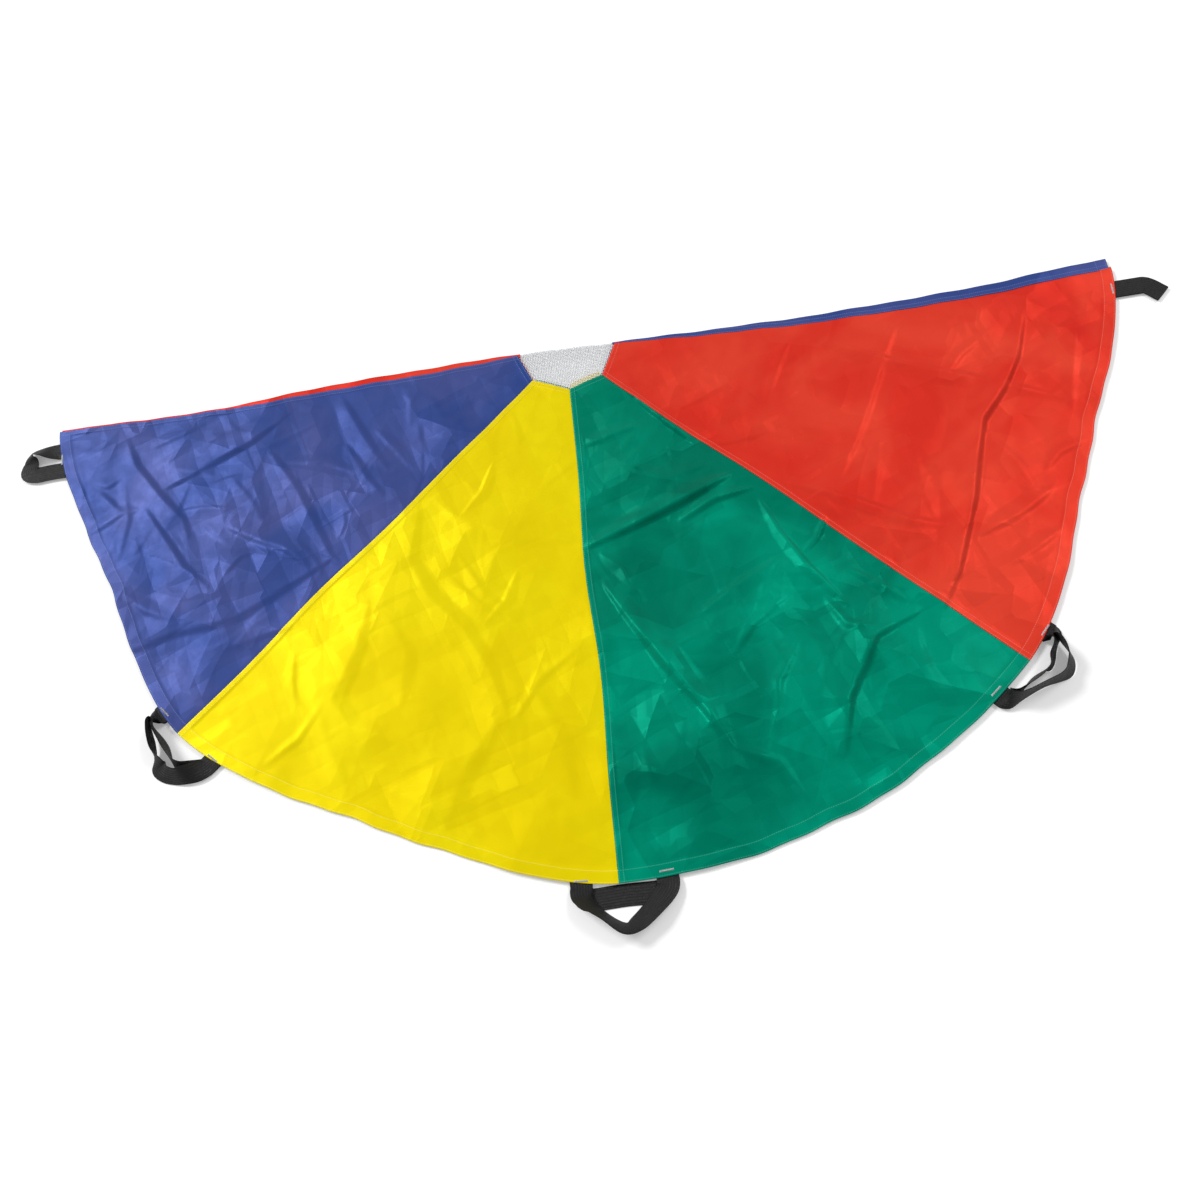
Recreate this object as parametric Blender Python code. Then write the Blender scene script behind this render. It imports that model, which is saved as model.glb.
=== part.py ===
"""A play parachute, folded in half and laid flat on its lower half.

Eight cloth gores in four repeating colours meet in felled seams round a net crown.
The upper half lies on the lower half and turns about the fold line, which runs along X.
A webbing handle is sewn under the hem at each seam, so the handles lie in pairs at the
front, one from each layer, and one lies at each end of the fold.
"""

import math

import bmesh
import bpy
import numpy as np

# The size of the cloth
corner_radius = 0.914
crown_radius = 0.084
hem_width = 0.020
seam_width = 0.012
crown_band = 0.010

# Thicknesses: the solids stand in for much thinner cloth
cloth_thickness = 0.0010
seam_thickness = 0.0016
hem_thickness = 0.0020
net_thickness = 0.0008

# The webbing of the handles
strap_width = 0.032
strap_thickness = 0.0016
handle_spacing = 0.122
sewn_length = 0.017

# The crown net: the pitch of its openings and the width of its cords
net_pitch = 0.0118
net_cord = 0.0026
net_rim = 0.0050

# Clearances
seat_gap = 0.0003
lower_draw_in = 0.0040
pivot_gap = 0.0003

# How the cloth is laid: the directions of the seams in degrees, from the left end of the
# fold round the front to its right end
seam_degrees = (0.0, 42.0, 89.5, 132.5, 180.0)

# How far the laid hem has crept in at each seam: only the second one's has
left_draw_in = 0.018
seam_draw_ins = (0.0, left_draw_in, 0.0, 0.0, 0.0)
left_turnover_at_crown = 0.010
left_turnover_at_hem = 0.002
right_turnover_at_crown = 0.003
right_turnover_at_hem = 0.020

# How far each hem is drawn in at its middle, as shares of the corner radius
upper_inset_shares = (0.048, 0.045, -0.004, 0.055)
lower_inset_shares = (0.050, 0.045, 0.012, 0.055)
hem_curve_power = 1.5

# Where the upper layer stays lifted off the lower one, and how far the lift runs out
fold_run = 0.110
crown_flat = 0.020
crown_run = 0.100
handle_flat = 0.115
handle_run = 0.110

# Main folds of the upper layer, each from one point to another in shares of the corner
# radius, with its height as a share of the fold rise
fold_rise = 0.016
fold_half_width = 0.045
fold_end_share = 0.08
main_fold_shares = (
    ((-0.87, -0.05), (-0.67, -0.39), 1.00),
    ((-0.81, -0.17), (-0.55, -0.08), 0.60),
    ((-0.57, -0.13), (-0.45, -0.36), 0.90),
    ((-0.70, -0.27), (-0.49, -0.38), 0.70),
    ((-0.43, -0.05), (-0.34, -0.25), 0.60),
    ((-0.84, -0.37), (-0.74, -0.45), 0.50),
    ((-0.32, -0.27), (-0.12, -0.78), 0.90),
    ((-0.46, -0.63), (-0.17, -0.82), 0.50),
    ((-0.22, -0.25), (-0.03, -0.36), 0.35),
    ((0.02, -0.41), (0.26, -0.33), 0.70),
    ((0.03, -0.50), (0.19, -0.76), 0.90),
    ((0.18, -0.57), (0.32, -0.50), 0.55),
    ((0.36, -0.82), (0.46, -0.66), 0.80),
    ((0.83, -0.10), (0.58, -0.60), 1.00),
    ((0.44, -0.06), (0.85, -0.28), 0.55),
    ((0.36, -0.36), (0.62, -0.50), 0.40),
    ((0.46, -0.36), (0.55, -0.16), 0.35),
)

# Where the front handles are centred, in degrees like the seams, and how far each one
# reaches out from the hem. The outer one of a pair is the upper layer's.
handle_degrees = (43.0, 90.0, 132.0)
handle_draw_ins = (left_draw_in, 0.0, 0.0)
outer_reaches = (0.050, 0.066, 0.055)
inner_reaches = (0.036, 0.026, 0.036)

# Handle routes, from the left end to the right one. Each station is a share of half the
# spacing along the hem, a share of the reach outwards, and the lean in degrees: how far
# the webbing stands up on one edge, which is its inner edge where the lean is positive.
left_outer_shares = (
    (-1.00, 0.00, 0), (-1.03, 0.08, 0), (-1.06, 0.19, -14), (-0.90, 0.38, -50), (-0.44, 0.68, -66),
    (0.03, 0.93, -52), (0.40, 1.00, -28), (0.76, 0.80, -24), (0.99, 0.38, -10), (1.00, 0.00, 0),
)
left_inner_shares = (
    (-1.00, 0.00, 0), (-0.98, 0.30, 0), (-0.74, 0.56, -18), (-0.26, 0.80, -50),
    (0.18, 0.98, -42), (0.52, 0.98, -26), (0.84, 0.70, -12), (0.99, 0.30, 0), (1.00, 0.00, 0),
)
front_outer_shares = (
    (-1.00, 0.00, 0), (-1.00, 0.18, 14), (-0.86, 0.42, 50), (-0.55, 0.74, 66),
    (-0.12, 1.00, 42), (0.30, 0.90, 26), (0.70, 0.62, 24), (0.98, 0.26, 10), (1.00, 0.00, 0),
)
right_outer_shares = (
    (-1.00, 0.00, 0), (-1.03, 0.08, 0), (-1.06, 0.18, -16), (-0.92, 0.36, -50), (-0.46, 0.70, -70),
    (0.13, 1.00, -60), (0.62, 0.90, -60), (0.98, 0.56, -60), (1.06, 0.20, -20), (1.00, 0.00, 0),
)
right_inner_shares = (
    (-1.00, 0.00, 0), (-0.97, 0.32, 0), (-0.66, 0.60, -14), (-0.28, 0.84, -46),
    (0.05, 1.00, -54), (0.36, 0.86, -38), (0.68, 0.58, -14), (0.97, 0.30, 0), (1.00, 0.00, 0),
)

# The shares of the reach between which the front handles come down to the floor
outer_drop_shares = (0.70, 1.00)
inner_drop_shares = (0.00, 0.60)

# The inner handle at the front lies flat, with round corners
flat_corner = 0.0175

# The handles at the ends of the fold: the left one lies open, the right one closed
left_fold_reach = 0.048
left_fold_spacing = 0.041
left_fold_shares = (
    (-1.00, 0.00, 0), (-1.02, 0.28, 0), (-1.00, 0.55, -20), (-0.62, 0.90, -44), (0.00, 1.02, -52),
    (0.62, 0.90, -44), (1.00, 0.55, -20), (1.02, 0.28, 0), (1.00, 0.00, 0),
)
right_fold_reach = 0.066

# How finely the cloth is divided
upper_columns = 12
upper_rows = 13
lower_columns = 5
lower_rows = 5
turn_steps = 8
turn_columns = 6
strap_steps = 26
curve_steps = 20
corner_steps = 7
hairpin_steps = 8

# Where along its route the open fold end handle starts to climb to the upper hem
climb_start_share = 0.35

# Heights that follow from the stack of hem, two straps and hem
lower_strap_bottom = hem_thickness + seat_gap
upper_strap_bottom = lower_strap_bottom + strap_thickness + seat_gap
upper_rest = upper_strap_bottom + strap_thickness + seat_gap
upper_low = hem_thickness + seat_gap
fold_height = upper_rest + cloth_thickness
axis_height = fold_height / 2

# Linear colours
blue = (0.060, 0.088, 0.38, 1)
yellow = (0.87, 0.72, 0.010, 1)
green = (0.004, 0.21, 0.125, 1)
red = (0.70, 0.045, 0.022, 1)
white_net = (0.72, 0.74, 0.74, 1)
black_webbing = (0.012, 0.012, 0.013, 1)


def clear_scene():
    """Remove whatever the scene holds."""
    for scene_object in list(bpy.data.objects):
        bpy.data.objects.remove(scene_object, do_unlink=True)


def make_material(name, colour, roughness, metallic=0.0):
    """A plain Principled material in the part's own colour."""
    material = bpy.data.materials.new(name)
    material.use_nodes = True
    shader = material.node_tree.nodes["Principled BSDF"]
    shader.inputs["Base Color"].default_value = colour
    shader.inputs["Roughness"].default_value = roughness
    shader.inputs["Metallic"].default_value = metallic
    return material


def make_empty(name, place, parent=None):
    """An empty that carries a group of pieces, placed in the world."""
    empty = bpy.data.objects.new(name, None)
    bpy.context.collection.objects.link(empty)
    offset = np.array(parent.location) if parent else np.zeros(3)
    empty.location = np.array(place) - offset
    empty.parent = parent
    return empty


def world_place(carrier):
    """Where an empty stands, before the whole part is moved to its origin."""
    place = np.array(carrier.location)
    while carrier.parent:
        carrier = carrier.parent
        place = place + np.array(carrier.location)
    return place


def add_piece(name, points, faces, material, carrier):
    """One closed piece, its points given in the world and its origin on its carrier."""
    mesh = bpy.data.meshes.new(name)
    local = np.asarray(points, dtype=float).reshape(-1, 3) - world_place(carrier)
    mesh.from_pydata(local.tolist(), [], faces)
    mesh.validate()
    shape = bmesh.new()
    shape.from_mesh(mesh)
    bmesh.ops.triangulate(shape, faces=shape.faces)
    bmesh.ops.recalc_face_normals(shape, faces=shape.faces)
    shape.to_mesh(mesh)
    shape.free()
    mesh.materials.append(material)
    piece = bpy.data.objects.new(name, mesh)
    bpy.context.collection.objects.link(piece)
    piece.parent = carrier
    return piece


def smooth_piece(piece, angle_degrees=30):
    """Shade a rounded piece smooth, with its sharp edges kept."""
    piece.data.shade_smooth()
    piece.data.set_sharp_from_angle(angle=math.radians(angle_degrees))


def slab(top, bottom):
    """Points and faces of a closed slab between two grids of points of the same size."""
    rows, columns = top.shape[:2]
    count = rows * columns
    index = np.arange(count).reshape(rows, columns)
    faces = []
    for row in range(rows - 1):
        for column in range(columns - 1):
            corners = (index[row, column], index[row, column + 1],
                       index[row + 1, column + 1], index[row + 1, column])
            faces.append([int(corner) for corner in corners])
            faces.append([int(corner) + count for corner in reversed(corners)])
    rim = np.concatenate([index[0, :-1], index[:-1, -1], index[-1, :0:-1], index[:0:-1, 0]])
    for start, end in zip(rim, np.roll(rim, -1)):
        faces.append([int(start), int(start) + count, int(end) + count, int(end)])
    points = np.concatenate([top.reshape(-1, 3), bottom.reshape(-1, 3)])
    return points, faces


def smooth_share(share):
    """A smooth step from 0 to 1 as the share goes from 0 to 1."""
    clipped = np.clip(share, 0.0, 1.0)
    return clipped * clipped * (3.0 - 2.0 * clipped)


def direction(degrees):
    """A unit direction in plan, in degrees from the left end of the fold round the front."""
    angle = math.pi + math.radians(degrees)
    return np.array([math.cos(angle), math.sin(angle)])


def seam_corners(layer_draw_in=0.0):
    """The plan points of the five seam lines, at the crown and at the hem.

    The first and last lines lie in front of the fold, where the cloth of the lower half
    is turned over it."""
    inner = [direction(degrees) * crown_radius for degrees in seam_degrees]
    outer = [direction(degrees) * (corner_radius - draw_in - layer_draw_in)
             for degrees, draw_in in zip(seam_degrees, seam_draw_ins)]
    return inner, outer


def turned_seam_corners():
    """The seam lines of the upper half, its end seams set in front of the fold."""
    inner, outer = seam_corners()
    inner[0] = inner[0] - np.array([0.0, left_turnover_at_crown])
    outer[0] = outer[0] - np.array([0.0, left_turnover_at_hem])
    inner[-1] = inner[-1] - np.array([0.0, right_turnover_at_crown])
    outer[-1] = outer[-1] - np.array([0.0, right_turnover_at_hem])
    return inner, outer


def segment_distance(x, y, start, end):
    """The distance from points in plan to a straight segment, and the share along it."""
    along = np.subtract(end, start)
    length = np.hypot(*along)
    share = ((x - start[0]) * along[0] + (y - start[1]) * along[1]) / length ** 2
    near = np.clip(share, 0.0, 1.0)
    distance = np.hypot(x - start[0] - near * along[0], y - start[1] - near * along[1])
    return distance, near


def lift_share(x, y):
    """How far the upper layer is lifted: 1 at the fold, the crown and over the handles."""
    at_fold = 1.0 - smooth_share(-y / fold_run)
    radius = np.hypot(x, y)
    at_crown = 1.0 - smooth_share((radius - crown_radius - crown_flat) / crown_run)
    lift = np.maximum(at_fold, at_crown)
    handle_places = list(zip(handle_degrees, handle_draw_ins))
    for degrees, draw_in in [(seam_degrees[0], 0.0)] + handle_places + [(seam_degrees[-1], 0.0)]:
        corner = direction(degrees) * (corner_radius - draw_in)
        distance = np.hypot(x - corner[0], y - corner[1])
        lift = np.maximum(lift, 1.0 - smooth_share((distance - handle_flat) / handle_run))
    return lift


def fold_height_at(x, y):
    """The height that the main folds add: each a ridge that runs out at its ends."""
    height = np.zeros_like(x)
    for start_shares, end_shares, height_share in main_fold_shares:
        start = np.array(start_shares) * corner_radius
        end = np.array(end_shares) * corner_radius
        distance, share = segment_distance(x, y, start, end)
        end_share = fold_end_share + (1.0 - 2 * fold_end_share) * share
        taper = np.sqrt(np.sin(math.pi * end_share))
        ridge = np.exp(-(distance / fold_half_width) ** 2)
        height = np.maximum(height, fold_rise * height_share * taper * ridge)
    return height


def upper_bottom(x, y):
    """The height of the underside of the upper layer."""
    lift = lift_share(x, y)
    return upper_low + (upper_rest - upper_low) * lift + fold_height_at(x, y) * (1.0 - lift)


def gore_plan(inner_pair, outer_pair, inset, columns, rows):
    """The plan of one gore as a grid of points, from its crown edge to its hem.

    A row runs from the left seam to the right one. Its distance from the crown's centre
    goes from the straight edge of the crown to the hem, which is an arc between the two
    corners drawn in by the inset at its middle. The first columns hold the felled seam,
    the first rows the band round the crown and the last rows the hem."""
    length = np.hypot(*np.subtract(outer_pair[0], inner_pair[0]))
    hem_share = hem_width / length
    band_share = crown_band / length
    step_share = seat_gap / length
    middle_shares = np.linspace(band_share + step_share, 1.0 - hem_share - step_share, rows)
    row_shares = np.concatenate([[0.0, band_share], middle_shares, [1.0 - hem_share, 1.0]])
    x_rows = []
    y_rows = []
    for share in row_shares:
        left = inner_pair[0] + share * (outer_pair[0] - inner_pair[0])
        right = inner_pair[1] + share * (outer_pair[1] - inner_pair[1])
        left_angle = math.atan2(left[1], left[0]) % (2 * math.pi)
        right_angle = math.atan2(right[1], right[0]) % (2 * math.pi)
        if right_angle < left_angle:
            right_angle += 2 * math.pi
        row_radius = 0.5 * (np.hypot(*left) + np.hypot(*right))
        edge_angle = seat_gap / 2 / row_radius
        seam_angle = seam_width / row_radius
        first = left_angle + edge_angle
        last = right_angle - edge_angle
        body = np.linspace(left_angle + seam_angle + edge_angle, last, columns)
        angles = np.concatenate([[first, left_angle + seam_angle], body])
        across = (angles - left_angle) / (right_angle - left_angle)
        chord_in = inner_pair[1] - inner_pair[0]
        crown_line = np.cross(inner_pair[0], chord_in)
        crown_reach = crown_line / (np.cos(angles) * chord_in[1] - np.sin(angles) * chord_in[0])
        corner_reach = np.hypot(*outer_pair[0]) * (1 - across) + np.hypot(*outer_pair[1]) * across
        hem_reach = corner_reach - inset * np.clip(np.sin(math.pi * across), 0, 1) ** hem_curve_power
        crown_edge = crown_reach + seat_gap
        reach = crown_edge + share * (hem_reach - crown_edge)
        x_rows.append(reach * np.cos(angles))
        y_rows.append(reach * np.sin(angles))
    return np.array(x_rows), np.array(y_rows)


def gore_thickness(rows, columns):
    """The thickness over a gore's grid: thicker at its seam, crown band and hem."""
    thickness = np.full((rows, columns), cloth_thickness)
    thickness[:, :2] = seam_thickness
    thickness[:2, :] = seam_thickness
    thickness[-2:, :] = hem_thickness
    return thickness


def make_gore(name, side, inner_pair, outer_pair, inset, material, carrier):
    """One gore. On the lower half it lies flat; on the upper it has the main folds."""
    upper = side == "upper"
    columns = upper_columns if upper else lower_columns
    rows = upper_rows if upper else lower_rows
    x, y = gore_plan(inner_pair, outer_pair, inset, columns, rows)
    bottom = upper_bottom(x, y) if upper else np.zeros_like(x)
    top = bottom + gore_thickness(*x.shape)
    points, faces = slab(np.stack([x, y, top], axis=2), np.stack([x, y, bottom], axis=2))
    piece = add_piece(name, points, faces, material, carrier)
    if upper:
        smooth_piece(piece)
    return piece


def make_turned_edge(name, inner_seam, outer_seam, material, carrier):
    """The narrow strip of a lower gore that is turned over the fold, up to its seam."""
    shares = np.linspace(0.0, 1.0, turn_columns)
    seam = np.array([inner_seam + share * (outer_seam - inner_seam) for share in shares])
    edge_gap = seat_gap / 2
    fold_x = np.linspace(inner_seam[0], outer_seam[0], turn_columns)
    bottom = np.zeros((turn_columns, 2, 3))
    bottom[:, 0, 0] = fold_x
    bottom[:, 0, 1] = -edge_gap
    bottom[:, 1, 0] = seam[:, 0]
    bottom[:, 1, 1] = seam[:, 1] + edge_gap
    bottom[:, :, 2] = upper_rest
    top = bottom + np.array([0.0, 0.0, cloth_thickness])
    return add_piece(name, *slab(top, bottom), material, carrier)


def turn_point(angle, radius):
    """A point of the fold's round back: from its foot, behind it, and to its top."""
    return radius * math.sin(angle), axis_height - radius * math.cos(angle)


def make_fold_turn(name, start_x, end_x, material, carrier):
    """The half round of cloth at the back of the fold, which joins the two layers."""
    angles = np.linspace(0.0, math.pi, turn_steps + 1)
    outer = np.zeros((turn_steps + 1, 2, 3))
    inner = np.zeros_like(outer)
    for step, angle in enumerate(angles):
        for side, x in enumerate((start_x, end_x)):
            y_out, z_out = turn_point(angle, axis_height)
            y_in, z_in = turn_point(angle, axis_height - cloth_thickness)
            outer[step, side] = (x, y_out + seat_gap / 2, z_out)
            inner[step, side] = (x, y_in + seat_gap / 2, z_in)
    piece = add_piece(name, *slab(outer, inner), material, carrier)
    smooth_piece(piece)
    return piece


def lattice(columns, rows, pitch, cord, thickness):
    """Points and faces of a flat square lattice with the given number of openings."""
    def lines(count):
        edges = [-cord / 2]
        for step in range(count):
            edges += [step * pitch + cord / 2, (step + 1) * pitch - cord / 2]
        return np.array(edges + [count * pitch + cord / 2])
    x_lines = lines(columns)
    y_lines = lines(rows)
    nx, ny = len(x_lines), len(y_lines)
    x, y = np.meshgrid(x_lines, y_lines, indexing="ij")
    flat = np.stack([x, y, np.zeros_like(x)], axis=2).reshape(-1, 3)
    points = np.concatenate([flat + np.array([0, 0, thickness]), flat])

    def solid(column, row):
        inside = 0 <= column < nx - 1 and 0 <= row < ny - 1
        return inside and not (column % 2 == 1 and row % 2 == 1)

    def corner(column, row):
        return column * ny + row

    faces = []
    count = nx * ny
    for column in range(nx - 1):
        for row in range(ny - 1):
            if not solid(column, row):
                continue
            ring = [corner(column, row), corner(column + 1, row),
                    corner(column + 1, row + 1), corner(column, row + 1)]
            faces.append(ring)
            faces.append([index + count for index in reversed(ring)])
            neighbours = ((column, row - 1), (column + 1, row), (column, row + 1), (column - 1, row))
            for side, neighbour in enumerate(neighbours):
                if not solid(*neighbour):
                    start, end = ring[side], ring[(side + 1) % 4]
                    faces.append([start, start + count, end + count, end])
    return points, faces


def prism(outline, bottom, top):
    """Points and faces of an upright prism over a plan outline."""
    count = len(outline)
    low = [(x, y, bottom) for x, y in outline]
    high = [(x, y, top) for x, y in outline]
    faces = [list(range(count)), list(range(2 * count - 1, count - 1, -1))]
    for start in range(count):
        end = (start + 1) % count
        faces.append([start, start + count, end + count, end])
    return low + high, faces


def crown_outline(inset):
    """Half of the crown's eight sided outline, its corners drawn in by the inset."""
    shrink = (crown_radius * math.cos(math.pi / 8) - inset) / math.cos(math.pi / 8)
    inner, _ = seam_corners()
    outline = [point * shrink / crown_radius for point in inner]
    outline[0] = np.array([outline[0][0], -seat_gap / 2])
    outline[-1] = np.array([outline[-1][0], -seat_gap / 2])
    return outline


def boolean(piece, other, operation):
    """Apply a Boolean to a piece and remove the other one."""
    modifier = piece.modifiers.new(operation.lower(), "BOOLEAN")
    modifier.operation = operation
    modifier.object = other
    modifier.solver = "EXACT"
    bpy.context.view_layer.update()
    graph = bpy.context.evaluated_depsgraph_get()
    cut_mesh = bpy.data.meshes.new_from_object(piece.evaluated_get(graph))
    piece.modifiers.clear()
    piece.data = cut_mesh
    bpy.data.objects.remove(other, do_unlink=True)


def make_net(name, bottom, material, carrier):
    """Half of the crown net: a lattice cut to the crown's outline, with a bound rim."""
    columns = math.ceil(2 * crown_radius / net_pitch)
    rows = math.ceil(crown_radius / net_pitch) + 1
    points, faces = lattice(columns, rows, net_pitch, net_cord, net_thickness)
    place = np.array([-columns * net_pitch / 2, -(rows - 0.5) * net_pitch, bottom])
    net = add_piece(name, points + place, faces, material, carrier)
    rim_overrun = net_thickness
    field = prism(crown_outline(0.0), bottom - rim_overrun, bottom + net_thickness + rim_overrun)
    boolean(net, add_piece("net_field", *field, material, carrier), "INTERSECT")
    rim = add_piece("net_rim", *prism(crown_outline(0.0), bottom, bottom + net_thickness),
                    material, carrier)
    window = crown_outline(net_rim)
    window[0] = np.array([window[0][0], -net_rim])
    window[-1] = np.array([window[-1][0], -net_rim])
    hole = prism(window, bottom - rim_overrun, bottom + net_thickness + rim_overrun)
    boolean(rim, add_piece("net_window", *hole, material, carrier), "DIFFERENCE")
    boolean(net, rim, "UNION")
    return net


def resampled(stations, count):
    """A smooth curve through stations, read at even steps along it."""
    table = np.array(stations, dtype=float)
    ends = np.concatenate([[2 * table[0] - table[1]], table, [2 * table[-1] - table[-2]]])
    fine = []
    for index in range(1, len(ends) - 2):
        before, start, end, after = ends[index - 1:index + 3]
        for share in np.linspace(0.0, 1.0, curve_steps, endpoint=False):
            fine.append(0.5 * (2 * start + (end - before) * share
                               + (2 * before - 5 * start + 4 * end - after) * share ** 2
                               + (3 * start - before - 3 * end + after) * share ** 3))
    fine.append(table[-1])
    fine = np.array(fine)
    steps = np.hypot(*np.diff(fine[:, :2], axis=0).T)
    distance = np.concatenate([[0.0], np.cumsum(steps)])
    even = np.linspace(0.0, distance[-1], count)
    return np.stack([np.interp(even, distance, column) for column in fine.T], axis=1)


def ribbon(centres, widths, normals):
    """Points and faces of a flat strap: centre points, unit directions across, and faces."""
    half_width = strap_width / 2
    half_thickness = strap_thickness / 2
    rings = [centres + widths * half_width * side + normals * half_thickness * face
             for side, face in ((-1, -1), (1, -1), (1, 1), (-1, 1))]
    ring_points = np.stack(rings, axis=1)
    count = len(centres)
    faces = [[3, 2, 1, 0], [4 * (count - 1) + corner for corner in range(4)]]
    for station in range(count - 1):
        for corner in range(4):
            following = (corner + 1) % 4
            base = 4 * station
            faces.append([base + corner, base + following,
                          base + 4 + following, base + 4 + corner])
    return ring_points.reshape(-1, 3), faces


def hem_frame(degrees, draw_in):
    """A place on the laid hem, and the directions along the hem and outwards."""
    outwards = direction(degrees)
    along = np.array([-outwards[1], outwards[0]])
    return outwards * (corner_radius - draw_in), along, outwards


def to_world(frame, along_hem, outwards, height):
    """Places given along the hem, outwards and upwards, in the world."""
    place, along_direction, out_direction = frame
    plan = place + np.outer(along_hem, along_direction) + np.outer(outwards, out_direction)
    return np.column_stack([plan, height])


def hem_back(along_hem):
    """How far the round hem lies behind its frame's place, at a distance along it."""
    return corner_radius - math.sqrt(corner_radius ** 2 - along_hem ** 2)


def place_strap(name, frame, route, heights, lean, material, carrier):
    """A strap along a route in a hem's frame, leaving and meeting the hem squarely."""
    tangent = np.gradient(route, axis=0)
    tangent[0] = (0.0, 1.0)
    tangent[-1] = (0.0, -1.0)
    tangent /= np.hypot(*tangent.T)[:, None]
    along_direction = np.append(frame[1], 0.0)
    out_direction = np.append(frame[2], 0.0)
    across = np.outer(tangent[:, 1], along_direction) - np.outer(tangent[:, 0], out_direction)
    up = np.array([0.0, 0.0, 1.0])
    rise = np.sin(lean)[:, None]
    flat = np.cos(lean)[:, None]
    widths = across * flat - up * rise
    normals = across * rise + up * flat
    centres = to_world(frame, route[:, 0], route[:, 1], heights)
    piece = add_piece(name, *ribbon(centres, widths, normals), material, carrier)
    smooth_piece(piece)
    return piece


def lowered(bottom, out_share, drop_shares):
    """The height of a handle's lower edge as it comes down from the hem to the floor."""
    start, end = drop_shares
    drop = smooth_share((out_share - start) / (end - start))
    return bottom * (1 - drop) + seat_gap * drop


def make_leaning_handle(name, frame, stations, reach, bottom, drop_shares, material, carrier):
    """A handle that leaves the hem flat, stands up on one edge and comes back."""
    half_spacing = handle_spacing / 2
    start_out = pivot_gap - hem_back(half_spacing)
    table = [(along * half_spacing, start_out + out * (reach - start_out), math.radians(lean))
             for along, out, lean in stations]
    route = resampled(table, strap_steps)
    lean = route[:, 2]
    edge = lowered(bottom, (route[:, 1] - start_out) / (reach - start_out), drop_shares)
    heights = edge + strap_thickness / 2 + strap_width / 2 * np.abs(np.sin(lean))
    return place_strap(name, frame, route[:, :2], heights, lean, material, carrier)


def flat_route(half_spacing, start_out, reach, corner_radius_in_plan):
    """A route out from the hem, along it and back, with round corners."""
    angles = np.linspace(0.0, math.pi / 2, corner_steps)
    corner_along = half_spacing - corner_radius_in_plan * (1 - np.cos(angles))
    corner_out = reach - corner_radius_in_plan * (1 - np.sin(angles))
    left = np.column_stack([-corner_along, corner_out])
    right = np.column_stack([corner_along, corner_out])[::-1]
    ends = np.array([[-half_spacing, start_out]]), np.array([[half_spacing, start_out]])
    return np.concatenate([ends[0], left, right, ends[1]])


def make_flat_handle(name, frame, reach, bottom, material, carrier):
    """A handle that lies flat: out from the hem, down to the floor, along and back."""
    half_spacing = handle_spacing / 2
    start_out = pivot_gap - hem_back(half_spacing)
    route = flat_route(half_spacing, start_out, reach, flat_corner)
    out_share = (route[:, 1] - start_out) / (reach - start_out)
    heights = lowered(bottom, out_share, inner_drop_shares) + strap_thickness / 2
    return place_strap(name, frame, route, heights, np.zeros(len(route)), material, carrier)


def make_sewn_end(name, frame, along_hem, bottom, material, carrier):
    """The end of a handle that is sewn to the hem's inner face."""
    out = -hem_back(handle_spacing / 2)
    route = np.array([[along_hem, out - sewn_length], [along_hem, out]])
    centres = to_world(frame, route[:, 0], route[:, 1], np.full(2, bottom + strap_thickness / 2))
    widths = np.tile(np.append(frame[1], 0.0), (2, 1))
    normals = np.tile([0.0, 0.0, 1.0], (2, 1))
    return add_piece(name, *ribbon(centres, widths, normals), material, carrier)


def fold_end_frame(sign):
    """The frame of the hem at an end of the fold, where it runs straight forward."""
    forward = handle_spacing / 2
    place = np.array([sign * math.sqrt(corner_radius ** 2 - forward ** 2), -forward])
    return place, np.array([0.0, float(sign)]), np.array([float(sign), 0.0])


def make_open_fold_handle(name, frame, material, carrier):
    """A fold end handle that lies open: out from the lower hem, round and back above."""
    half_spacing = left_fold_spacing / 2
    table = [(along * half_spacing, pivot_gap + out * (left_fold_reach - pivot_gap),
              math.radians(lean)) for along, out, lean in left_fold_shares]
    sewn_start = np.array([[-half_spacing, -sewn_length, 0.0]])
    route = np.concatenate([sewn_start, resampled(table, strap_steps)])
    steps = np.hypot(*np.diff(route[:, :2], axis=0).T)
    share = np.concatenate([[0.0], np.cumsum(steps)]) / steps.sum()
    climb = smooth_share((share - climb_start_share) / (1.0 - 2 * climb_start_share))
    lean = route[:, 2]
    edge = lower_strap_bottom * (1 - climb) + upper_strap_bottom * climb
    heights = edge + strap_thickness / 2 + strap_width / 2 * np.abs(np.sin(lean))
    return place_strap(name, frame, route[:, :2], heights, lean, material, carrier)


def make_closed_fold_handle(name, frame, material, carrier):
    """A fold end handle that lies closed: out from the lower hem and back on itself."""
    lower = lower_strap_bottom + strap_thickness / 2
    upper = upper_strap_bottom + strap_thickness / 2
    bend = (upper - lower) / 2
    angles = np.linspace(-math.pi / 2, math.pi / 2, hairpin_steps + 1)
    outs = right_fold_reach - bend + bend * np.cos(angles)
    heights = (lower + upper) / 2 + bend * np.sin(angles)
    outs = np.concatenate([[-sewn_length], outs, [pivot_gap]])
    heights = np.concatenate([[lower], heights, [upper]])
    tangent = np.gradient(np.column_stack([outs, heights]), axis=0)
    tangent[0] = (1.0, 0.0)
    tangent[-1] = (-1.0, 0.0)
    tangent /= np.hypot(*tangent.T)[:, None]
    out_direction = np.append(frame[2], 0.0)
    up = np.array([0.0, 0.0, 1.0])
    centres = to_world(frame, np.zeros(len(outs)), outs, heights)
    widths = np.tile(np.append(frame[1], 0.0), (len(outs), 1))
    normals = np.outer(tangent[:, 0], up) - np.outer(tangent[:, 1], out_direction)
    piece = add_piece(name, *ribbon(centres, widths, normals), material, carrier)
    smooth_piece(piece)
    return piece


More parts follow.
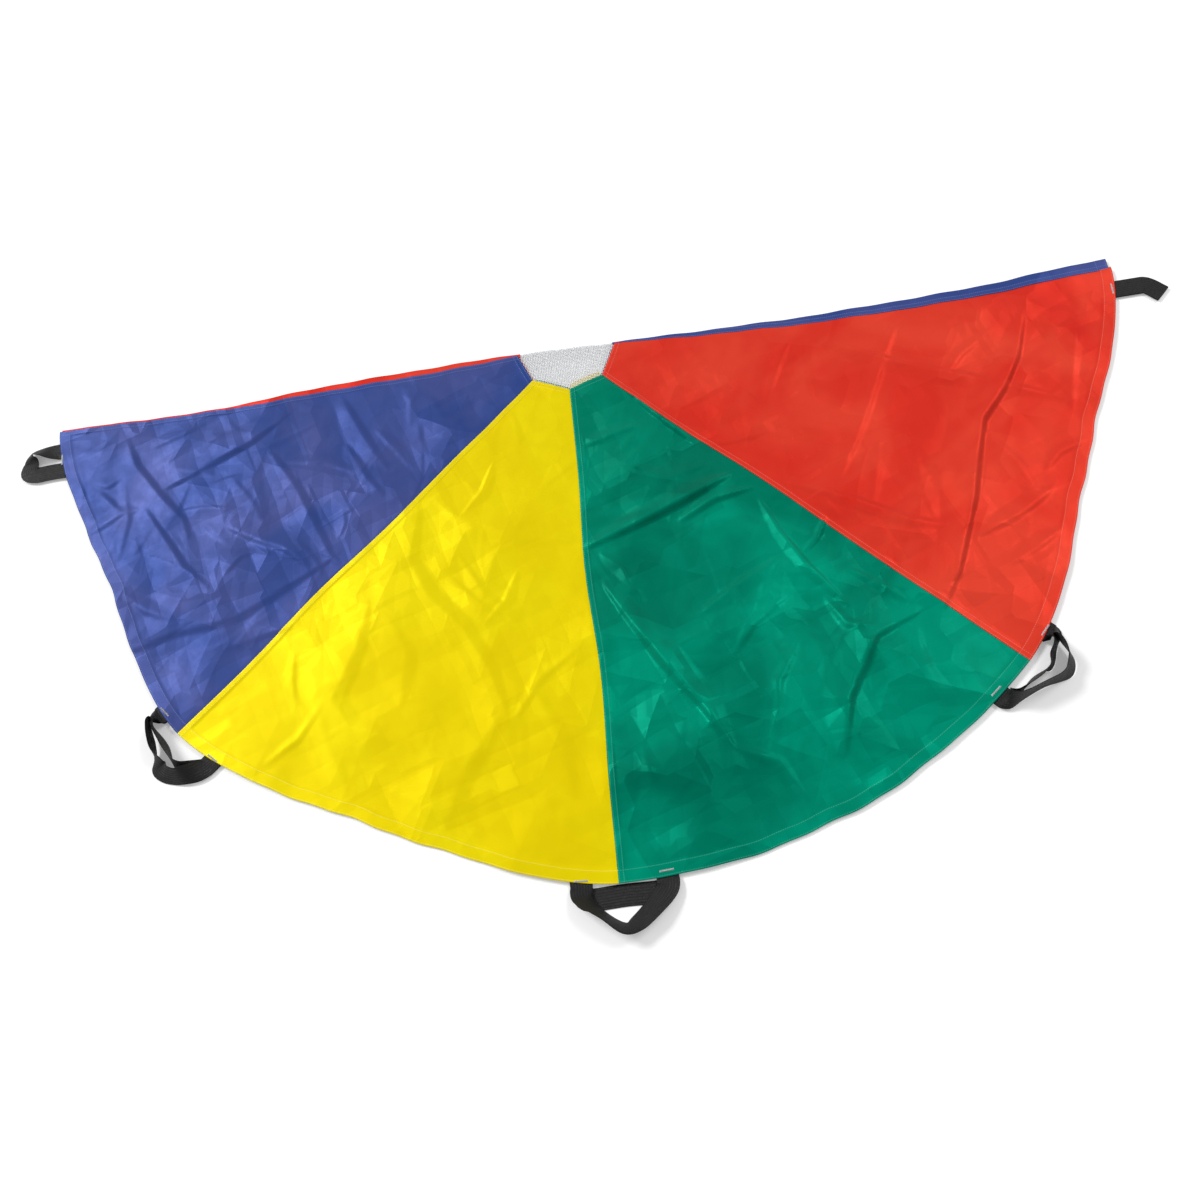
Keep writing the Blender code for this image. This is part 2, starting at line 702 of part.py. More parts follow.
def stand_on_origin(carrier):
    """Move the whole part so that the middle of its foot is at the origin."""
    bpy.context.view_layer.update()
    corners = []
    for piece in bpy.data.objects:
        if piece.type == "MESH":
            place = np.array(piece.matrix_world)
            points = np.array([vertex.co for vertex in piece.data.vertices])
            corners.append(points @ place[:3, :3].T + place[:3, 3])
    points = np.concatenate(corners)
    middle = (points.min(axis=0) + points.max(axis=0)) / 2
    carrier.location = (-middle[0], -middle[1], -points[:, 2].min())
    bpy.context.view_layer.update()


def make_front_handles(webbing, lower_half, upper_half):
    """The three pairs at the front, each handle on a pivot at the edge of its hem."""
    names = ("left", "front", "right")
    outer_routes = (left_outer_shares, front_outer_shares, right_outer_shares)
    inner_routes = (left_inner_shares, None, right_inner_shares)
    half_spacing = handle_spacing / 2
    pivot_out = np.array([pivot_gap - hem_back(half_spacing)])
    for index, name in enumerate(names):
        frame = hem_frame(handle_degrees[index], handle_draw_ins[index])
        upper_place = to_world(frame, [0.0], pivot_out, [upper_rest + hem_thickness])[0]
        upper_pivot = make_empty("pivot_upper_" + name, upper_place, upper_half)
        make_leaning_handle("handle_upper_" + name, frame, outer_routes[index],
                            outer_reaches[index], upper_strap_bottom, outer_drop_shares,
                            webbing, upper_pivot)
        lower_place = to_world(frame, [0.0], pivot_out, [0.0])[0]
        lower_pivot = make_empty("pivot_lower_" + name, lower_place, lower_half)
        if name == "front":
            make_flat_handle("handle_lower_" + name, frame, inner_reaches[index],
                             lower_strap_bottom, webbing, lower_pivot)
        else:
            make_leaning_handle("handle_lower_" + name, frame, inner_routes[index],
                                inner_reaches[index], lower_strap_bottom, inner_drop_shares,
                                webbing, lower_pivot)
        for end_name, along in (("a", -half_spacing), ("b", half_spacing)):
            make_sewn_end("sewn_end_upper_" + name + "_" + end_name, frame, along,
                          upper_strap_bottom, webbing, upper_half)
            make_sewn_end("sewn_end_lower_" + name + "_" + end_name, frame, along,
                          lower_strap_bottom, webbing, lower_half)


def make_fold_end_handles(webbing, lower_half, upper_half):
    """The handles at the ends of the fold, each sewn to the lower hem and the upper."""
    left = fold_end_frame(-1)
    right = fold_end_frame(1)
    make_open_fold_handle("handle_fold_left", left, webbing, lower_half)
    make_closed_fold_handle("handle_fold_right", right, webbing, lower_half)
    for name, frame, along in (("left", left, left_fold_spacing / 2), ("right", right, 0.0)):
        out = hem_back(handle_spacing / 2)
        shifted = (frame[0] + frame[2] * out, frame[1], frame[2])
        make_sewn_end("sewn_end_fold_" + name, shifted, along, upper_strap_bottom, webbing, upper_half)


def main():
    clear_scene()
    cloth = {
        "blue": make_material("blue_cloth", blue, 0.42),
        "yellow": make_material("yellow_cloth", yellow, 0.42),
        "green": make_material("green_cloth", green, 0.42),
        "red": make_material("red_cloth", red, 0.42),
    }
    net = make_material("white_net", white_net, 0.7)
    webbing = make_material("black_webbing", black_webbing, 0.75)

    parachute = make_empty("parachute", (0.0, 0.0, 0.0))
    lower_half = make_empty("lower_half", (0.0, 0.0, 0.0), parachute)
    upper_half = make_empty("upper_half", (0.0, 0.0, axis_height), parachute)

    inner, outer = turned_seam_corners()
    flat_inner, flat_outer = seam_corners(lower_draw_in)
    upper_colours = ("blue", "yellow", "green", "red")
    lower_colours = ("red", "green", "yellow", "blue")
    for index, colour in enumerate(upper_colours):
        make_gore("gore_upper_" + colour, "upper", inner[index:index + 2], outer[index:index + 2],
                  upper_inset_shares[index] * corner_radius, cloth[colour], upper_half)
    for index, colour in enumerate(lower_colours):
        make_gore("gore_lower_" + colour, "lower", flat_inner[index:index + 2],
                  flat_outer[index:index + 2], lower_inset_shares[index] * corner_radius,
                  cloth[colour], lower_half)
    make_turned_edge("turned_edge_red", inner[0], outer[0], cloth["red"], upper_half)
    make_turned_edge("turned_edge_blue", inner[-1], outer[-1], cloth["blue"], upper_half)

    crown_end = crown_radius + seat_gap
    hem_end = corner_radius - lower_draw_in
    make_fold_turn("fold_turn_red", -crown_end, -hem_end, cloth["red"], lower_half)
    make_fold_turn("fold_turn_blue", crown_end, hem_end, cloth["blue"], lower_half)
    make_fold_turn("fold_turn_net", -crown_radius, crown_radius, net, lower_half)
    make_net("crown_net_lower", 0.0, net, lower_half)
    make_net("crown_net_upper", upper_rest, net, upper_half)

    make_front_handles(webbing, lower_half, upper_half)
    make_fold_end_handles(webbing, lower_half, upper_half)
    stand_on_origin(parachute)


main()
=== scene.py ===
# %% [markdown]
# # A play parachute, folded in half
#
# A play parachute is a big round sheet of thin nylon taffeta. Eight gores in four colours
# meet in flat seams round a white net in the middle, and a webbing handle is sewn under
# the hem at each seam. Here it lies folded in half on a pale floor.
#
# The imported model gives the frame: where the fold is, where each hem ends and what turns
# with what. This script makes the cloth, net and webbing that are seen.

import math

import bmesh
import bpy
import numpy as np
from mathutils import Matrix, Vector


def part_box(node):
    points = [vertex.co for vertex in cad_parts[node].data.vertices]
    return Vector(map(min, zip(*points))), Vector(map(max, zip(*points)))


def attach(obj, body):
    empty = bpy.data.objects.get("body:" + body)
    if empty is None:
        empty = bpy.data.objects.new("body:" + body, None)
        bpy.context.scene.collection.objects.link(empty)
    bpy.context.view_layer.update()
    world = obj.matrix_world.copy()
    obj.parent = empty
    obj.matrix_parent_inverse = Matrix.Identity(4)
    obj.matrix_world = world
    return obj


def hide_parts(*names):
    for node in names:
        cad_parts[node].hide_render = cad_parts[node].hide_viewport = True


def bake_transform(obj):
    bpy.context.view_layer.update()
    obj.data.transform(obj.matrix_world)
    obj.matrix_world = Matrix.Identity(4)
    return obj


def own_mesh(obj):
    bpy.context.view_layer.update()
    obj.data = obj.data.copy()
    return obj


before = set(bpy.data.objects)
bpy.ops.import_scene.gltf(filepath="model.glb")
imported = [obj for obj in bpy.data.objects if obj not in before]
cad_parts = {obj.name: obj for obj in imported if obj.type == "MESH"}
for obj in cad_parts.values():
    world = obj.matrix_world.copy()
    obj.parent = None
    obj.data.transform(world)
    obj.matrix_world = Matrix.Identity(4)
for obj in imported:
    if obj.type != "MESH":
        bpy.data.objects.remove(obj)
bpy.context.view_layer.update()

# %% [markdown]
# ## Where things are
#
# All plan shapes are easiest to give from the middle of the crown, with X along the fold
# and the front of the fan at negative Y. The crown net's own box says where that middle
# is, so nothing has to be fitted by eye.

# %% The fold frame
net_low, net_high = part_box("crown_net_lower")
turn_low, turn_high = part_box("fold_turn_net")
centre = np.array([(net_low[0] + net_high[0]) / 2, turn_low[1]])
fold_axis_z = (turn_low[2] + turn_high[2]) / 2
corner_radius = 0.914
crown_radius = 0.084
gore_length = corner_radius - crown_radius
print("crown centre at", np.round(centre, 4), "and fold axis at", round(fold_axis_z, 5))


def placed(points):
    """Points given from the crown's middle, moved to where the frame has it."""
    moved = np.array(points, dtype=float)
    moved[..., 0] += centre[0]
    moved[..., 1] += centre[1]
    return moved


# %% [markdown]
# ## The camera
#
# The photo looks down at the fan from the front, a little from the right, and is turned so
# that the fold runs down to the left. The camera is a point at a distance from a target,
# with a roll about its own line of sight.

# %% Camera
camera_azimuth = math.radians(10.45)
camera_elevation = math.radians(65.17)
camera_roll = math.radians(-17.92)
camera_distance = 1.8007
camera_target = placed([0.0097, -0.4768, 0.0])
focal_pixels = 1158.94
image_pixels = 1200
sensor_millimetres = 36.0
up_vector = np.array([0.0, 0.0, 1.0])


def put_object(name, data):
    """A new object with its data, in the scene."""
    placed_object = bpy.data.objects.new(name, data)
    bpy.context.collection.objects.link(placed_object)
    return placed_object


def turn_to(piece, place, back, roll=0.0):
    """Put a camera or lamp at a place. It looks against its back vector, level with the
    floor where the roll is zero, and turned about that vector by the roll elsewhere."""
    right = np.cross(up_vector, back)
    right /= np.linalg.norm(right)
    up = np.cross(back, right)
    matrix = np.eye(4)
    matrix[:3, 0] = math.cos(roll) * right + math.sin(roll) * up
    matrix[:3, 1] = math.cos(roll) * up - math.sin(roll) * right
    matrix[:3, 2] = back
    matrix[:3, 3] = place
    piece.matrix_world = matrix.T.tolist()


def aim_camera(name):
    """A camera whose back vector has the azimuth and elevation, rolled about that vector."""
    back = np.array([math.sin(camera_azimuth) * math.cos(camera_elevation),
                     -math.cos(camera_azimuth) * math.cos(camera_elevation),
                     math.sin(camera_elevation)])
    data = bpy.data.cameras.new(name)
    data.sensor_width = sensor_millimetres
    data.lens = focal_pixels / image_pixels * data.sensor_width
    camera = put_object(name, data)
    turn_to(camera, camera_target + back * camera_distance, back, camera_roll)
    return camera


photo_camera = aim_camera("photo_camera")
bpy.context.scene.camera = photo_camera
print("lens", round(photo_camera.data.lens, 2), "mm")

# %% [markdown]
# ## Floor and light
#
# A white floor that keeps the chute's shadow, and an even sky. Two soft lamps stand behind
# the fold: a strong one at the left, which rakes over the creases, and a weak one at the
# right. The floor is lifted to white for the camera alone, through Is Camera Ray, so no
# lamp has to be strong enough to burn it out.

# %% Node helpers
def set_input(tree, socket, value):
    """Give an input a value, or link another node's socket to it."""
    if isinstance(value, bpy.types.NodeSocket):
        tree.links.new(value, socket)
    else:
        socket.default_value = value


def set_inputs(tree, node, inputs):
    """Set several inputs of a node, by name or by number."""
    for key, value in inputs.items():
        set_input(tree, node.inputs[key], value)


def add_node(tree, kind, inputs=None, **settings):
    """A shader node with its settings and its inputs."""
    node = tree.nodes.new(kind)
    for name, value in settings.items():
        setattr(node, name, value)
    set_inputs(tree, node, inputs or {})
    return node


def object_place(tree):
    """The place of a point in its object's own coordinates."""
    return add_node(tree, "ShaderNodeTexCoord").outputs["Object"]


def noise(tree, place, scale, detail, **more):
    """A noise texture, its further inputs by name."""
    return add_node(tree, "ShaderNodeTexNoise",
                    {"Vector": place, "Scale": scale, "Detail": detail, **more})


def split_vector(tree, vector):
    """The three outputs of a Separate XYZ node."""
    return add_node(tree, "ShaderNodeSeparateXYZ", {0: vector}).outputs


def point_table(tree, name):
    """The three values that a mesh carries at its points under a name."""
    table = add_node(tree, "ShaderNodeAttribute", attribute_name=name)
    return split_vector(tree, table.outputs["Vector"])


def bump(tree, height, strength, distance, **more):
    """The normal that a Bump node makes of a height."""
    return add_node(tree, "ShaderNodeBump", {"Height": height, "Strength": strength,
                                             "Distance": distance, **more}).outputs[0]


def arithmetic(tree, operation, first, second=0.0, third=0.0, clamp=False):
    """The output of a Math node."""
    node = add_node(tree, "ShaderNodeMath", {0: first, 1: second, 2: third},
                    operation=operation, use_clamp=clamp)
    return node.outputs[0]


def mixed(tree, share, first, second):
    """A colour between two others."""
    node = add_node(tree, "ShaderNodeMix", {"Factor": share}, data_type="RGBA")
    set_input(tree, node.inputs[6], first)
    set_input(tree, node.inputs[7], second)
    return node.outputs[2]


def smooth_between(tree, value, low, high, to_low=0.0, to_high=1.0):
    """A smooth step of a value from one number to another."""
    limits = {"Value": value, "From Min": low, "From Max": high,
              "To Min": to_low, "To Max": to_high}
    return add_node(tree, "ShaderNodeMapRange", limits,
                    interpolation_type="SMOOTHSTEP").outputs[0]


def empty_tree(owner):
    """The node tree of a material or world, with nothing in it."""
    owner.use_nodes = True
    owner.node_tree.nodes.clear()
    return owner.node_tree


def new_material(name):
    """An empty material with a Principled shader and its output."""
    material = bpy.data.materials.new(name)
    tree = empty_tree(material)
    shader = add_node(tree, "ShaderNodeBsdfPrincipled")
    add_node(tree, "ShaderNodeOutputMaterial", {"Surface": shader.outputs[0]})
    return material, tree, shader


# %% Floor, sky and lamps
floor_reach = 12.0


def make_floor():
    """A white plane, white to the camera where nothing shades it."""
    material = bpy.data.materials.new("floor_white")
    tree = empty_tree(material)
    diffuse = add_node(tree, "ShaderNodeBsdfDiffuse", {"Color": (0.90, 0.90, 0.90, 1)})
    glow = add_node(tree, "ShaderNodeEmission", {"Color": (1, 1, 1, 1)})
    path = add_node(tree, "ShaderNodeLightPath")
    far = add_node(tree, "ShaderNodeVectorMath", {0: object_place(tree)},
                   operation="LENGTH").outputs["Value"]
    lifted = arithmetic(tree, "MULTIPLY", path.outputs["Is Camera Ray"],
                        smooth_between(tree, far, 2.0, 4.5, 0.24, 0.9))
    set_inputs(tree, glow, {"Strength": lifted})
    both = add_node(tree, "ShaderNodeAddShader", {0: diffuse.outputs[0], 1: glow.outputs[0]})
    add_node(tree, "ShaderNodeOutputMaterial", {"Surface": both.outputs[0]})
    mesh = bpy.data.meshes.new("floor")
    reach = floor_reach
    mesh.from_pydata([(-reach, -reach, 0), (reach, -reach, 0), (reach, reach, 0),
                      (-reach, reach, 0)], [], [(0, 1, 2, 3)])
    mesh.materials.append(material)
    put_object("floor", mesh)


def make_sky(strength, gloss):
    """An even sky: white to the camera, and darker in gloss than in soft light."""
    world = bpy.data.worlds.new("sky")
    tree = empty_tree(world)
    path = add_node(tree, "ShaderNodeLightPath")
    seen = arithmetic(tree, "MAXIMUM", path.outputs["Is Camera Ray"],
                      path.outputs["Is Transmission Ray"])
    dimmed = add_node(tree, "ShaderNodeMapRange", {"Value": path.outputs["Is Glossy Ray"],
                                                   "To Min": strength, "To Max": gloss})
    level = add_node(tree, "ShaderNodeMapRange", {"Value": seen, "To Min": dimmed.outputs[0],
                                                  "To Max": 1.0})
    background = add_node(tree, "ShaderNodeBackground",
                          {"Color": (1, 1, 1, 1), "Strength": level.outputs[0]})
    add_node(tree, "ShaderNodeOutputWorld", {"Surface": background.outputs[0]})
    bpy.context.scene.world = world


def make_lamp(name, place, target, width, depth, power):
    """A rectangular area lamp at a place, turned towards a target."""
    data = bpy.data.lights.new(name, "AREA")
    data.shape = "RECTANGLE"
    data.size = width
    data.size_y = depth
    data.energy = power
    back = place - target
    turn_to(put_object(name, data), place, back / np.linalg.norm(back))


make_floor()
make_sky(0.42, 0.30)
fan_middle = placed([0.0, -0.4, 0.0])
make_lamp("left_softbox", placed([-8.6, 5.8, 9.6]), fan_middle, 4.4, 3.6, 1230)
make_lamp("right_softbox", placed([5.0, 2.4, 6.6]), fan_middle, 3.2, 2.6, 190)
bpy.context.scene.view_settings.view_transform = "Standard"
print("stage set")

# %% [markdown]
# ## From grids to closed cloth
#
# Every sheet here is a grid of points: rows run from the crown to the hem, and columns
# across the gore. The sheet's middle surface gets two skins, one along its normals and one
# against them, and a rim that joins them. That gives closed cloth whose thickness can
# change from place to place, so hems and seams are real relief.

# %% Mesh helpers
def unit(vectors):
    """Vectors scaled to length one."""
    return vectors / np.maximum(np.linalg.norm(vectors, axis=-1, keepdims=True), 1e-12)


def grid_normals(middle):
    """Normals of a grid: the cross product of its steps down the rows and across."""
    down = np.gradient(middle, axis=0)
    across = np.gradient(middle, axis=1)
    return unit(np.cross(down, across))


def quads_of(rows, columns, offset=0):
    """The quads of a grid, as indices of its points."""
    index = np.arange(rows * columns).reshape(rows, columns) + offset
    return np.stack([index[:-1, :-1], index[1:, :-1], index[1:, 1:], index[:-1, 1:]],
                    axis=-1).reshape(-1, 4)


def closed_sheet(middle, outer, inner):
    """Points and quads of a sheet with two skins, the outer one along the normals."""
    rows, columns = middle.shape[:2]
    normals = grid_normals(middle)
    outer_skin = middle + normals * outer[..., None]
    inner_skin = middle - normals * inner[..., None]
    count = rows * columns
    index = np.arange(count).reshape(rows, columns)
    rim = np.concatenate([index[0, :-1], index[:-1, -1], index[-1, :0:-1], index[:0:-1, 0]])
    following = np.roll(rim, -1)
    walls = np.stack([rim, following, following + count, rim + count], axis=-1)
    faces = np.concatenate([quads_of(rows, columns), quads_of(rows, columns, count)[:, ::-1],
                            walls])
    points = np.concatenate([outer_skin.reshape(-1, 3), inner_skin.reshape(-1, 3)])
    return points, faces


def make_object(name, points, faces, material, values=None):
    """A smooth object from points and faces, its normals outwards, with point attributes."""
    mesh = bpy.data.meshes.new(name)
    mesh.from_pydata(np.asarray(points, dtype=float).tolist(), [], faces.tolist())
    for attribute_name, table in (values or {}).items():
        attribute = mesh.attributes.new(attribute_name, "FLOAT_VECTOR", "POINT")
        attribute.data.foreach_set("vector", np.asarray(table, dtype=np.float32).ravel())
    shape = bmesh.new()
    shape.from_mesh(mesh)
    bmesh.ops.recalc_face_normals(shape, faces=shape.faces)
    shape.to_mesh(mesh)
    shape.free()
    mesh.shade_smooth()
    mesh.materials.append(material)
    return put_object(name, mesh)


def tube_sides(count, ring):
    """The points' indices in a tube of rings, and the quads of its wall."""
    index = np.arange(count * ring).reshape(count, ring)
    following = np.roll(index, -1, axis=1)
    sides = np.stack([index[:-1], following[:-1], following[1:], index[1:]], axis=-1)
    return index, sides.reshape(-1, 4)


def way_along(points):
    """How far along a line of points each one is, in metres from the first."""
    return np.concatenate([[0], np.cumsum(np.linalg.norm(np.diff(points, axis=0), axis=1))])


def smooth_step(value):
    """A smooth step from 0 to 1 as the value goes from 0 to 1."""
    clipped = np.clip(value, 0.0, 1.0)
    return clipped * clipped * (3.0 - 2.0 * clipped)


print("mesh helpers ready")

# %% [markdown]
# ## Taffeta
#
# The cloth is a plain weave of shiny filament yarn. Close to, it shows the crossing
# yarns; from a step away, it shows soft crumples that the packing left, and a gloss that
# follows them. The stitch lines are drawn from distances that each sheet carries: how far
# a point is from its seam, its hem and the crown.

# %% Taffeta material
weave_pitch = 0.0006
# turn in degrees, cells to a metre, slope, and how a cell measures its distance
facet_nets = ((23.0, 6.5, 0.055, "CHEBYCHEV"), (71.0, 10.0, 0.050, "MANHATTAN"),
              (48.0, 21.0, 0.030, "CHEBYCHEV"))
stitch_length = 0.0034
thread_half_width = 0.00045
hem_width = 0.020
seam_width = 0.0095


def sine_wave(tree, distance, length):
    """A wave from -1 to 1 that repeats over a length."""
    turns = arithmetic(tree, "MULTIPLY", distance, math.tau / length)
    return arithmetic(tree, "SINE", turns)


def stitch_line(tree, distance, at, along):
    """A mask of one row of stitches: near one distance, in dashes along another."""
    offset = arithmetic(tree, "ABSOLUTE", arithmetic(tree, "SUBTRACT", distance, at))
    near = smooth_between(tree, offset, thread_half_width * 0.6, thread_half_width * 1.5,
                          1.0, 0.0)
    wave = sine_wave(tree, along, stitch_length)
    dash = smooth_between(tree, wave, -0.55, -0.25)
    return arithmetic(tree, "MULTIPLY", near, dash)


def facets_of(tree, place):
    """The height of the crumples, in metres: the sum of three nets of flat-sided cones.

    In each net, the height of a point is its distance to the nearest of many random
    points, times a slope. The distance is measured along the net's own two axes, so that
    the sides are flat and meet in straight creases. A broad noise fades the sum. Each cell
    also gets a painted shade of its own, lighter or darker, for the light that a flat panel
    of creased cloth catches, and the painted shades of two nets are added."""
    bend = noise(tree, place, 6.0, 1.0)
    shift = add_node(tree, "ShaderNodeVectorMath", {0: bend.outputs["Color"], "Scale": 0.035},
                     operation="SCALE")
    warped = add_node(tree, "ShaderNodeVectorMath", {0: place, 1: shift.outputs[0]},
                      operation="ADD")
    height, painted_facet_shades = 0.0, []
    for degrees, cells, slope, metric in facet_nets:
        turned = add_node(tree, "ShaderNodeMapping", {"Vector": warped.outputs[0],
                                                      "Rotation": (0, 0, math.radians(degrees))})
        net = add_node(tree, "ShaderNodeTexVoronoi", {"Vector": turned.outputs[0], "Scale": cells},
                       voronoi_dimensions="2D", distance=metric, feature="F1")
        height = arithmetic(tree, "MULTIPLY_ADD", net.outputs["Distance"], slope / cells, height)
        # each cell's painted shade, for the light that its flat panel catches
        painted_facet_shades.append(split_vector(tree, net.outputs["Color"])[0])
    fade = noise(tree, place, 3.0, 1.0)
    faded = smooth_between(tree, fade.outputs[0], 0.35, 0.62, 0.35, 1.0)
    return arithmetic(tree, "MULTIPLY", height, faded), arithmetic(tree, "ADD", *painted_facet_shades[:2])


def make_taffeta(name, deep, light, thread, crumple):
    """Taffeta in one colour: weave, painted light and shade, crumples and stitches."""
    material, tree, shader = new_material(name)
    place = object_place(tree)
    seam, hem, crown = point_table(tree, "edge_distances")

    # painted light and shade: broad panels made lighter or darker, as tilted panels catch more or
    # less light
    broad = noise(tree, place, 5.5, 3.0, Roughness=0.55, Distortion=0.6)
    painted_panel_shading = smooth_between(tree, broad.outputs[0], 0.36, 0.68)
    # painted shade on each crumple facet, lighter or darker as its panel catches the light
    facets, painted_facet_shades = facets_of(tree, place)
    shade = arithmetic(tree, "MULTIPLY_ADD", painted_facet_shades, 0.20,
                       arithmetic(tree, "MULTIPLY", painted_panel_shading, 0.55))
    colour = mixed(tree, shade, deep, light)

    lines = stitch_line(tree, seam, 0.0016, hem)
    for line in (stitch_line(tree, seam, seam_width - 0.0014, hem),
                 stitch_line(tree, hem, 0.0022, seam),
                 stitch_line(tree, hem, hem_width - 0.0020, seam),
                 stitch_line(tree, crown, 0.0020, seam),
                 stitch_line(tree, crown, 0.0085, seam)):
        lines = arithmetic(tree, "MAXIMUM", lines, line)
    doubled = arithmetic(tree, "MAXIMUM",
                         smooth_between(tree, hem, hem_width, hem_width - 0.001),
                         smooth_between(tree, seam, seam_width, seam_width - 0.001))
    colour = mixed(tree, arithmetic(tree, "MULTIPLY", doubled, 0.22), colour, light)
    colour = mixed(tree, arithmetic(tree, "MULTIPLY", lines, 0.5), colour, thread)

    yarns = {"Vector": place, "Scale": 1 / weave_pitch / 20 * math.tau,
             "Distortion": 0.4, "Detail": 0.0}
    warp, weft = [add_node(tree, "ShaderNodeTexWave", yarns, bands_direction=axis).outputs["Fac"]
                  for axis in "XY"]
    weave = arithmetic(tree, "MAXIMUM", warp, weft)
    ripple = noise(tree, place, 34.0, 3.0, Roughness=0.6).outputs[0]
    crumples = bump(tree, arithmetic(tree, "MULTIPLY_ADD", ripple, 0.0001, facets), 1.0, crumple)
    threads = arithmetic(tree, "MULTIPLY_ADD", lines, 20.0, weave)
    yarn = bump(tree, threads, 0.5, 0.00001, Normal=crumples)
    rough = smooth_between(tree, ripple, 0.3, 0.7, 0.38, 0.46)
    set_inputs(tree, shader, {
        "Base Color": colour, "Normal": yarn, "Roughness": rough, "Metallic": 0.18,
        "Specular IOR Level": 0.35, "Specular Tint": light, "Sheen Weight": 0.03,
        "Sheen Tint": light, "Sheen Roughness": 0.35})
    return material


taffeta = {
    "blue": make_taffeta("blue_taffeta", (0.028, 0.062, 0.245, 1), (0.074, 0.092, 0.280, 1),
                         (0.20, 0.28, 0.62, 1), 1.1),
    "yellow": make_taffeta("yellow_taffeta", (0.81, 0.625, 0.002, 1), (0.86, 0.725, 0.004, 1),
                           (0.97, 0.88, 0.20, 1), 0.6),
    "green": make_taffeta("green_taffeta", (0.000, 0.138, 0.084, 1), (0.000, 0.335, 0.205, 1),
                          (0.10, 0.45, 0.36, 1), 1.8),
    "red": make_taffeta("red_taffeta", (0.67, 0.023, 0.014, 1), (0.82, 0.070, 0.036, 1),
                        (0.90, 0.25, 0.20, 1), 1.15),
}
print("taffeta in", ", ".join(taffeta))

# %% [markdown]
# ## How the cloth is laid
#
# The seams run from the crown to the hem. Nobody lays a chute with a ruler, so each seam
# wavers by a few millimetres, the fold line bows forwards a little on each side of the
# crown, and each hem hangs back between its corners. One function gives each of these,
# and both cloths that meet at a seam read the same one.

# %% Seams, fold and hems in plan
seam_degrees = np.array([0.0, 42.0, 89.5, 132.5, 180.0])
upper_insets = np.array([0.048, 0.045, -0.004, 0.055]) * corner_radius
lower_insets = np.array([0.050, 0.045, 0.012, 0.055]) * corner_radius
lower_draw_in = 0.004
lower_crown_steps = (0.004, 0.007, 0.013, 0.004)
seam_draw_ins = np.array([0.0, 0.018, 0.0, 0.0, 0.0])
turnover_x = (np.array([-0.93, -0.62, -0.54, -0.40, -0.25, -0.14, -0.09]),
              np.array([0.08, 0.13, 0.22, 0.40, 0.55, 0.75, 0.93]))
turnover_y = (np.array([0.0005, 0.001, 0.006, 0.009, 0.009, 0.006, 0.001]),
              np.array([0.0005, 0.003, 0.007, 0.013, 0.017, 0.0185, 0.019]))
seam_wavers = ((0.000, 0.0), (0.0050, 0.6), (0.0048, 2.4), (0.0022, 4.1), (0.000, 0.0))

bow_knots_x = np.array([-0.93, -0.80, -0.68, -0.58, -0.45, -0.30, -0.10, 0.02, 0.12, 0.26,
                        0.40, 0.55, 0.70, 0.80, 0.93])
bow_knots_y = np.array([0.0, -0.004, -0.010, -0.008, 0.001, 0.003, 0.003, -0.002, -0.007,
                        -0.013, -0.018, -0.017, -0.015, -0.007, 0.0])
bow_reach = 0.30
seam_tuck = 0.003


def fold_bow(x):
    """How far the fold line lies in front of or behind its straight line, at x."""
    near = [np.interp(x + shift, bow_knots_x, bow_knots_y)
            for shift in (-0.03, -0.015, 0, 0.015, 0.03)]
    inside = np.clip((0.93 - np.abs(x)) / 0.1, 0, 1)
    return np.mean(near, axis=0) + 0.0011 * np.sin(61 * x + 0.4) * np.sin(23 * x) * inside


def bowed(x, y):
    """Y with the fold's bow added: all of it at the fold, none further in front."""
    return y + fold_bow(x) * (1.0 - smooth_step(-y / bow_reach))


def seam_direction(index):
    """The angle in plan of a seam, in radians from +X."""
    return math.pi + math.radians(seam_degrees[index])


def seam_waver(index, share):
    """How far a seam strays sideways, from the crown at 0 to the hem at 1."""
    amplitude, phase = seam_wavers[index]
    window = np.sin(math.pi * np.clip(share, 0, 1)) ** 0.8
    return amplitude * window * (0.7 * np.sin(7.3 * share + phase)
                                 + 0.45 * np.sin(15.1 * share + 2 * phase))


def seam_line(index, share, upper, draw_in=0.0):
    """A seam's straight line from the crown to the hem. The two at the fold are the seams
    of cloth that is turned over it, so on top they lie a little in front of the fold."""
    ray = np.array([math.cos(seam_direction(index)), math.sin(seam_direction(index))])
    length = corner_radius - seam_draw_ins[index] - draw_in - crown_radius
    line = ray * (crown_radius + share[:, None] * length)
    if upper and index in (0, 4):
        side = index // 4
        line[:, 1] -= np.interp(line[:, 0], turnover_x[side], turnover_y[side])
    return line


def polar(points):
    """Radius and angle of points in front of the fold, the angle from pi to two pi."""
    x, y = points[..., 0], points[..., 1]
    return np.hypot(x, y), np.arctan2(y, x) % math.tau


def gore_rows(count):
    """Shares from the crown to the hem: even, and closer over the crown band and the hem."""
    band = np.array([0.0, 0.0012, 0.004, 0.008, 0.0100, 0.0112]) / gore_length
    hem = np.array([hem_width + 0.0012, hem_width, hem_width - 0.003,
                    0.012, 0.006, 0.0025, 0.0010, 0.0]) / gore_length
    body = np.linspace(0.018 / gore_length, 1 - 0.026 / gore_length, count)
    return np.concatenate([band, body, 1 - hem])


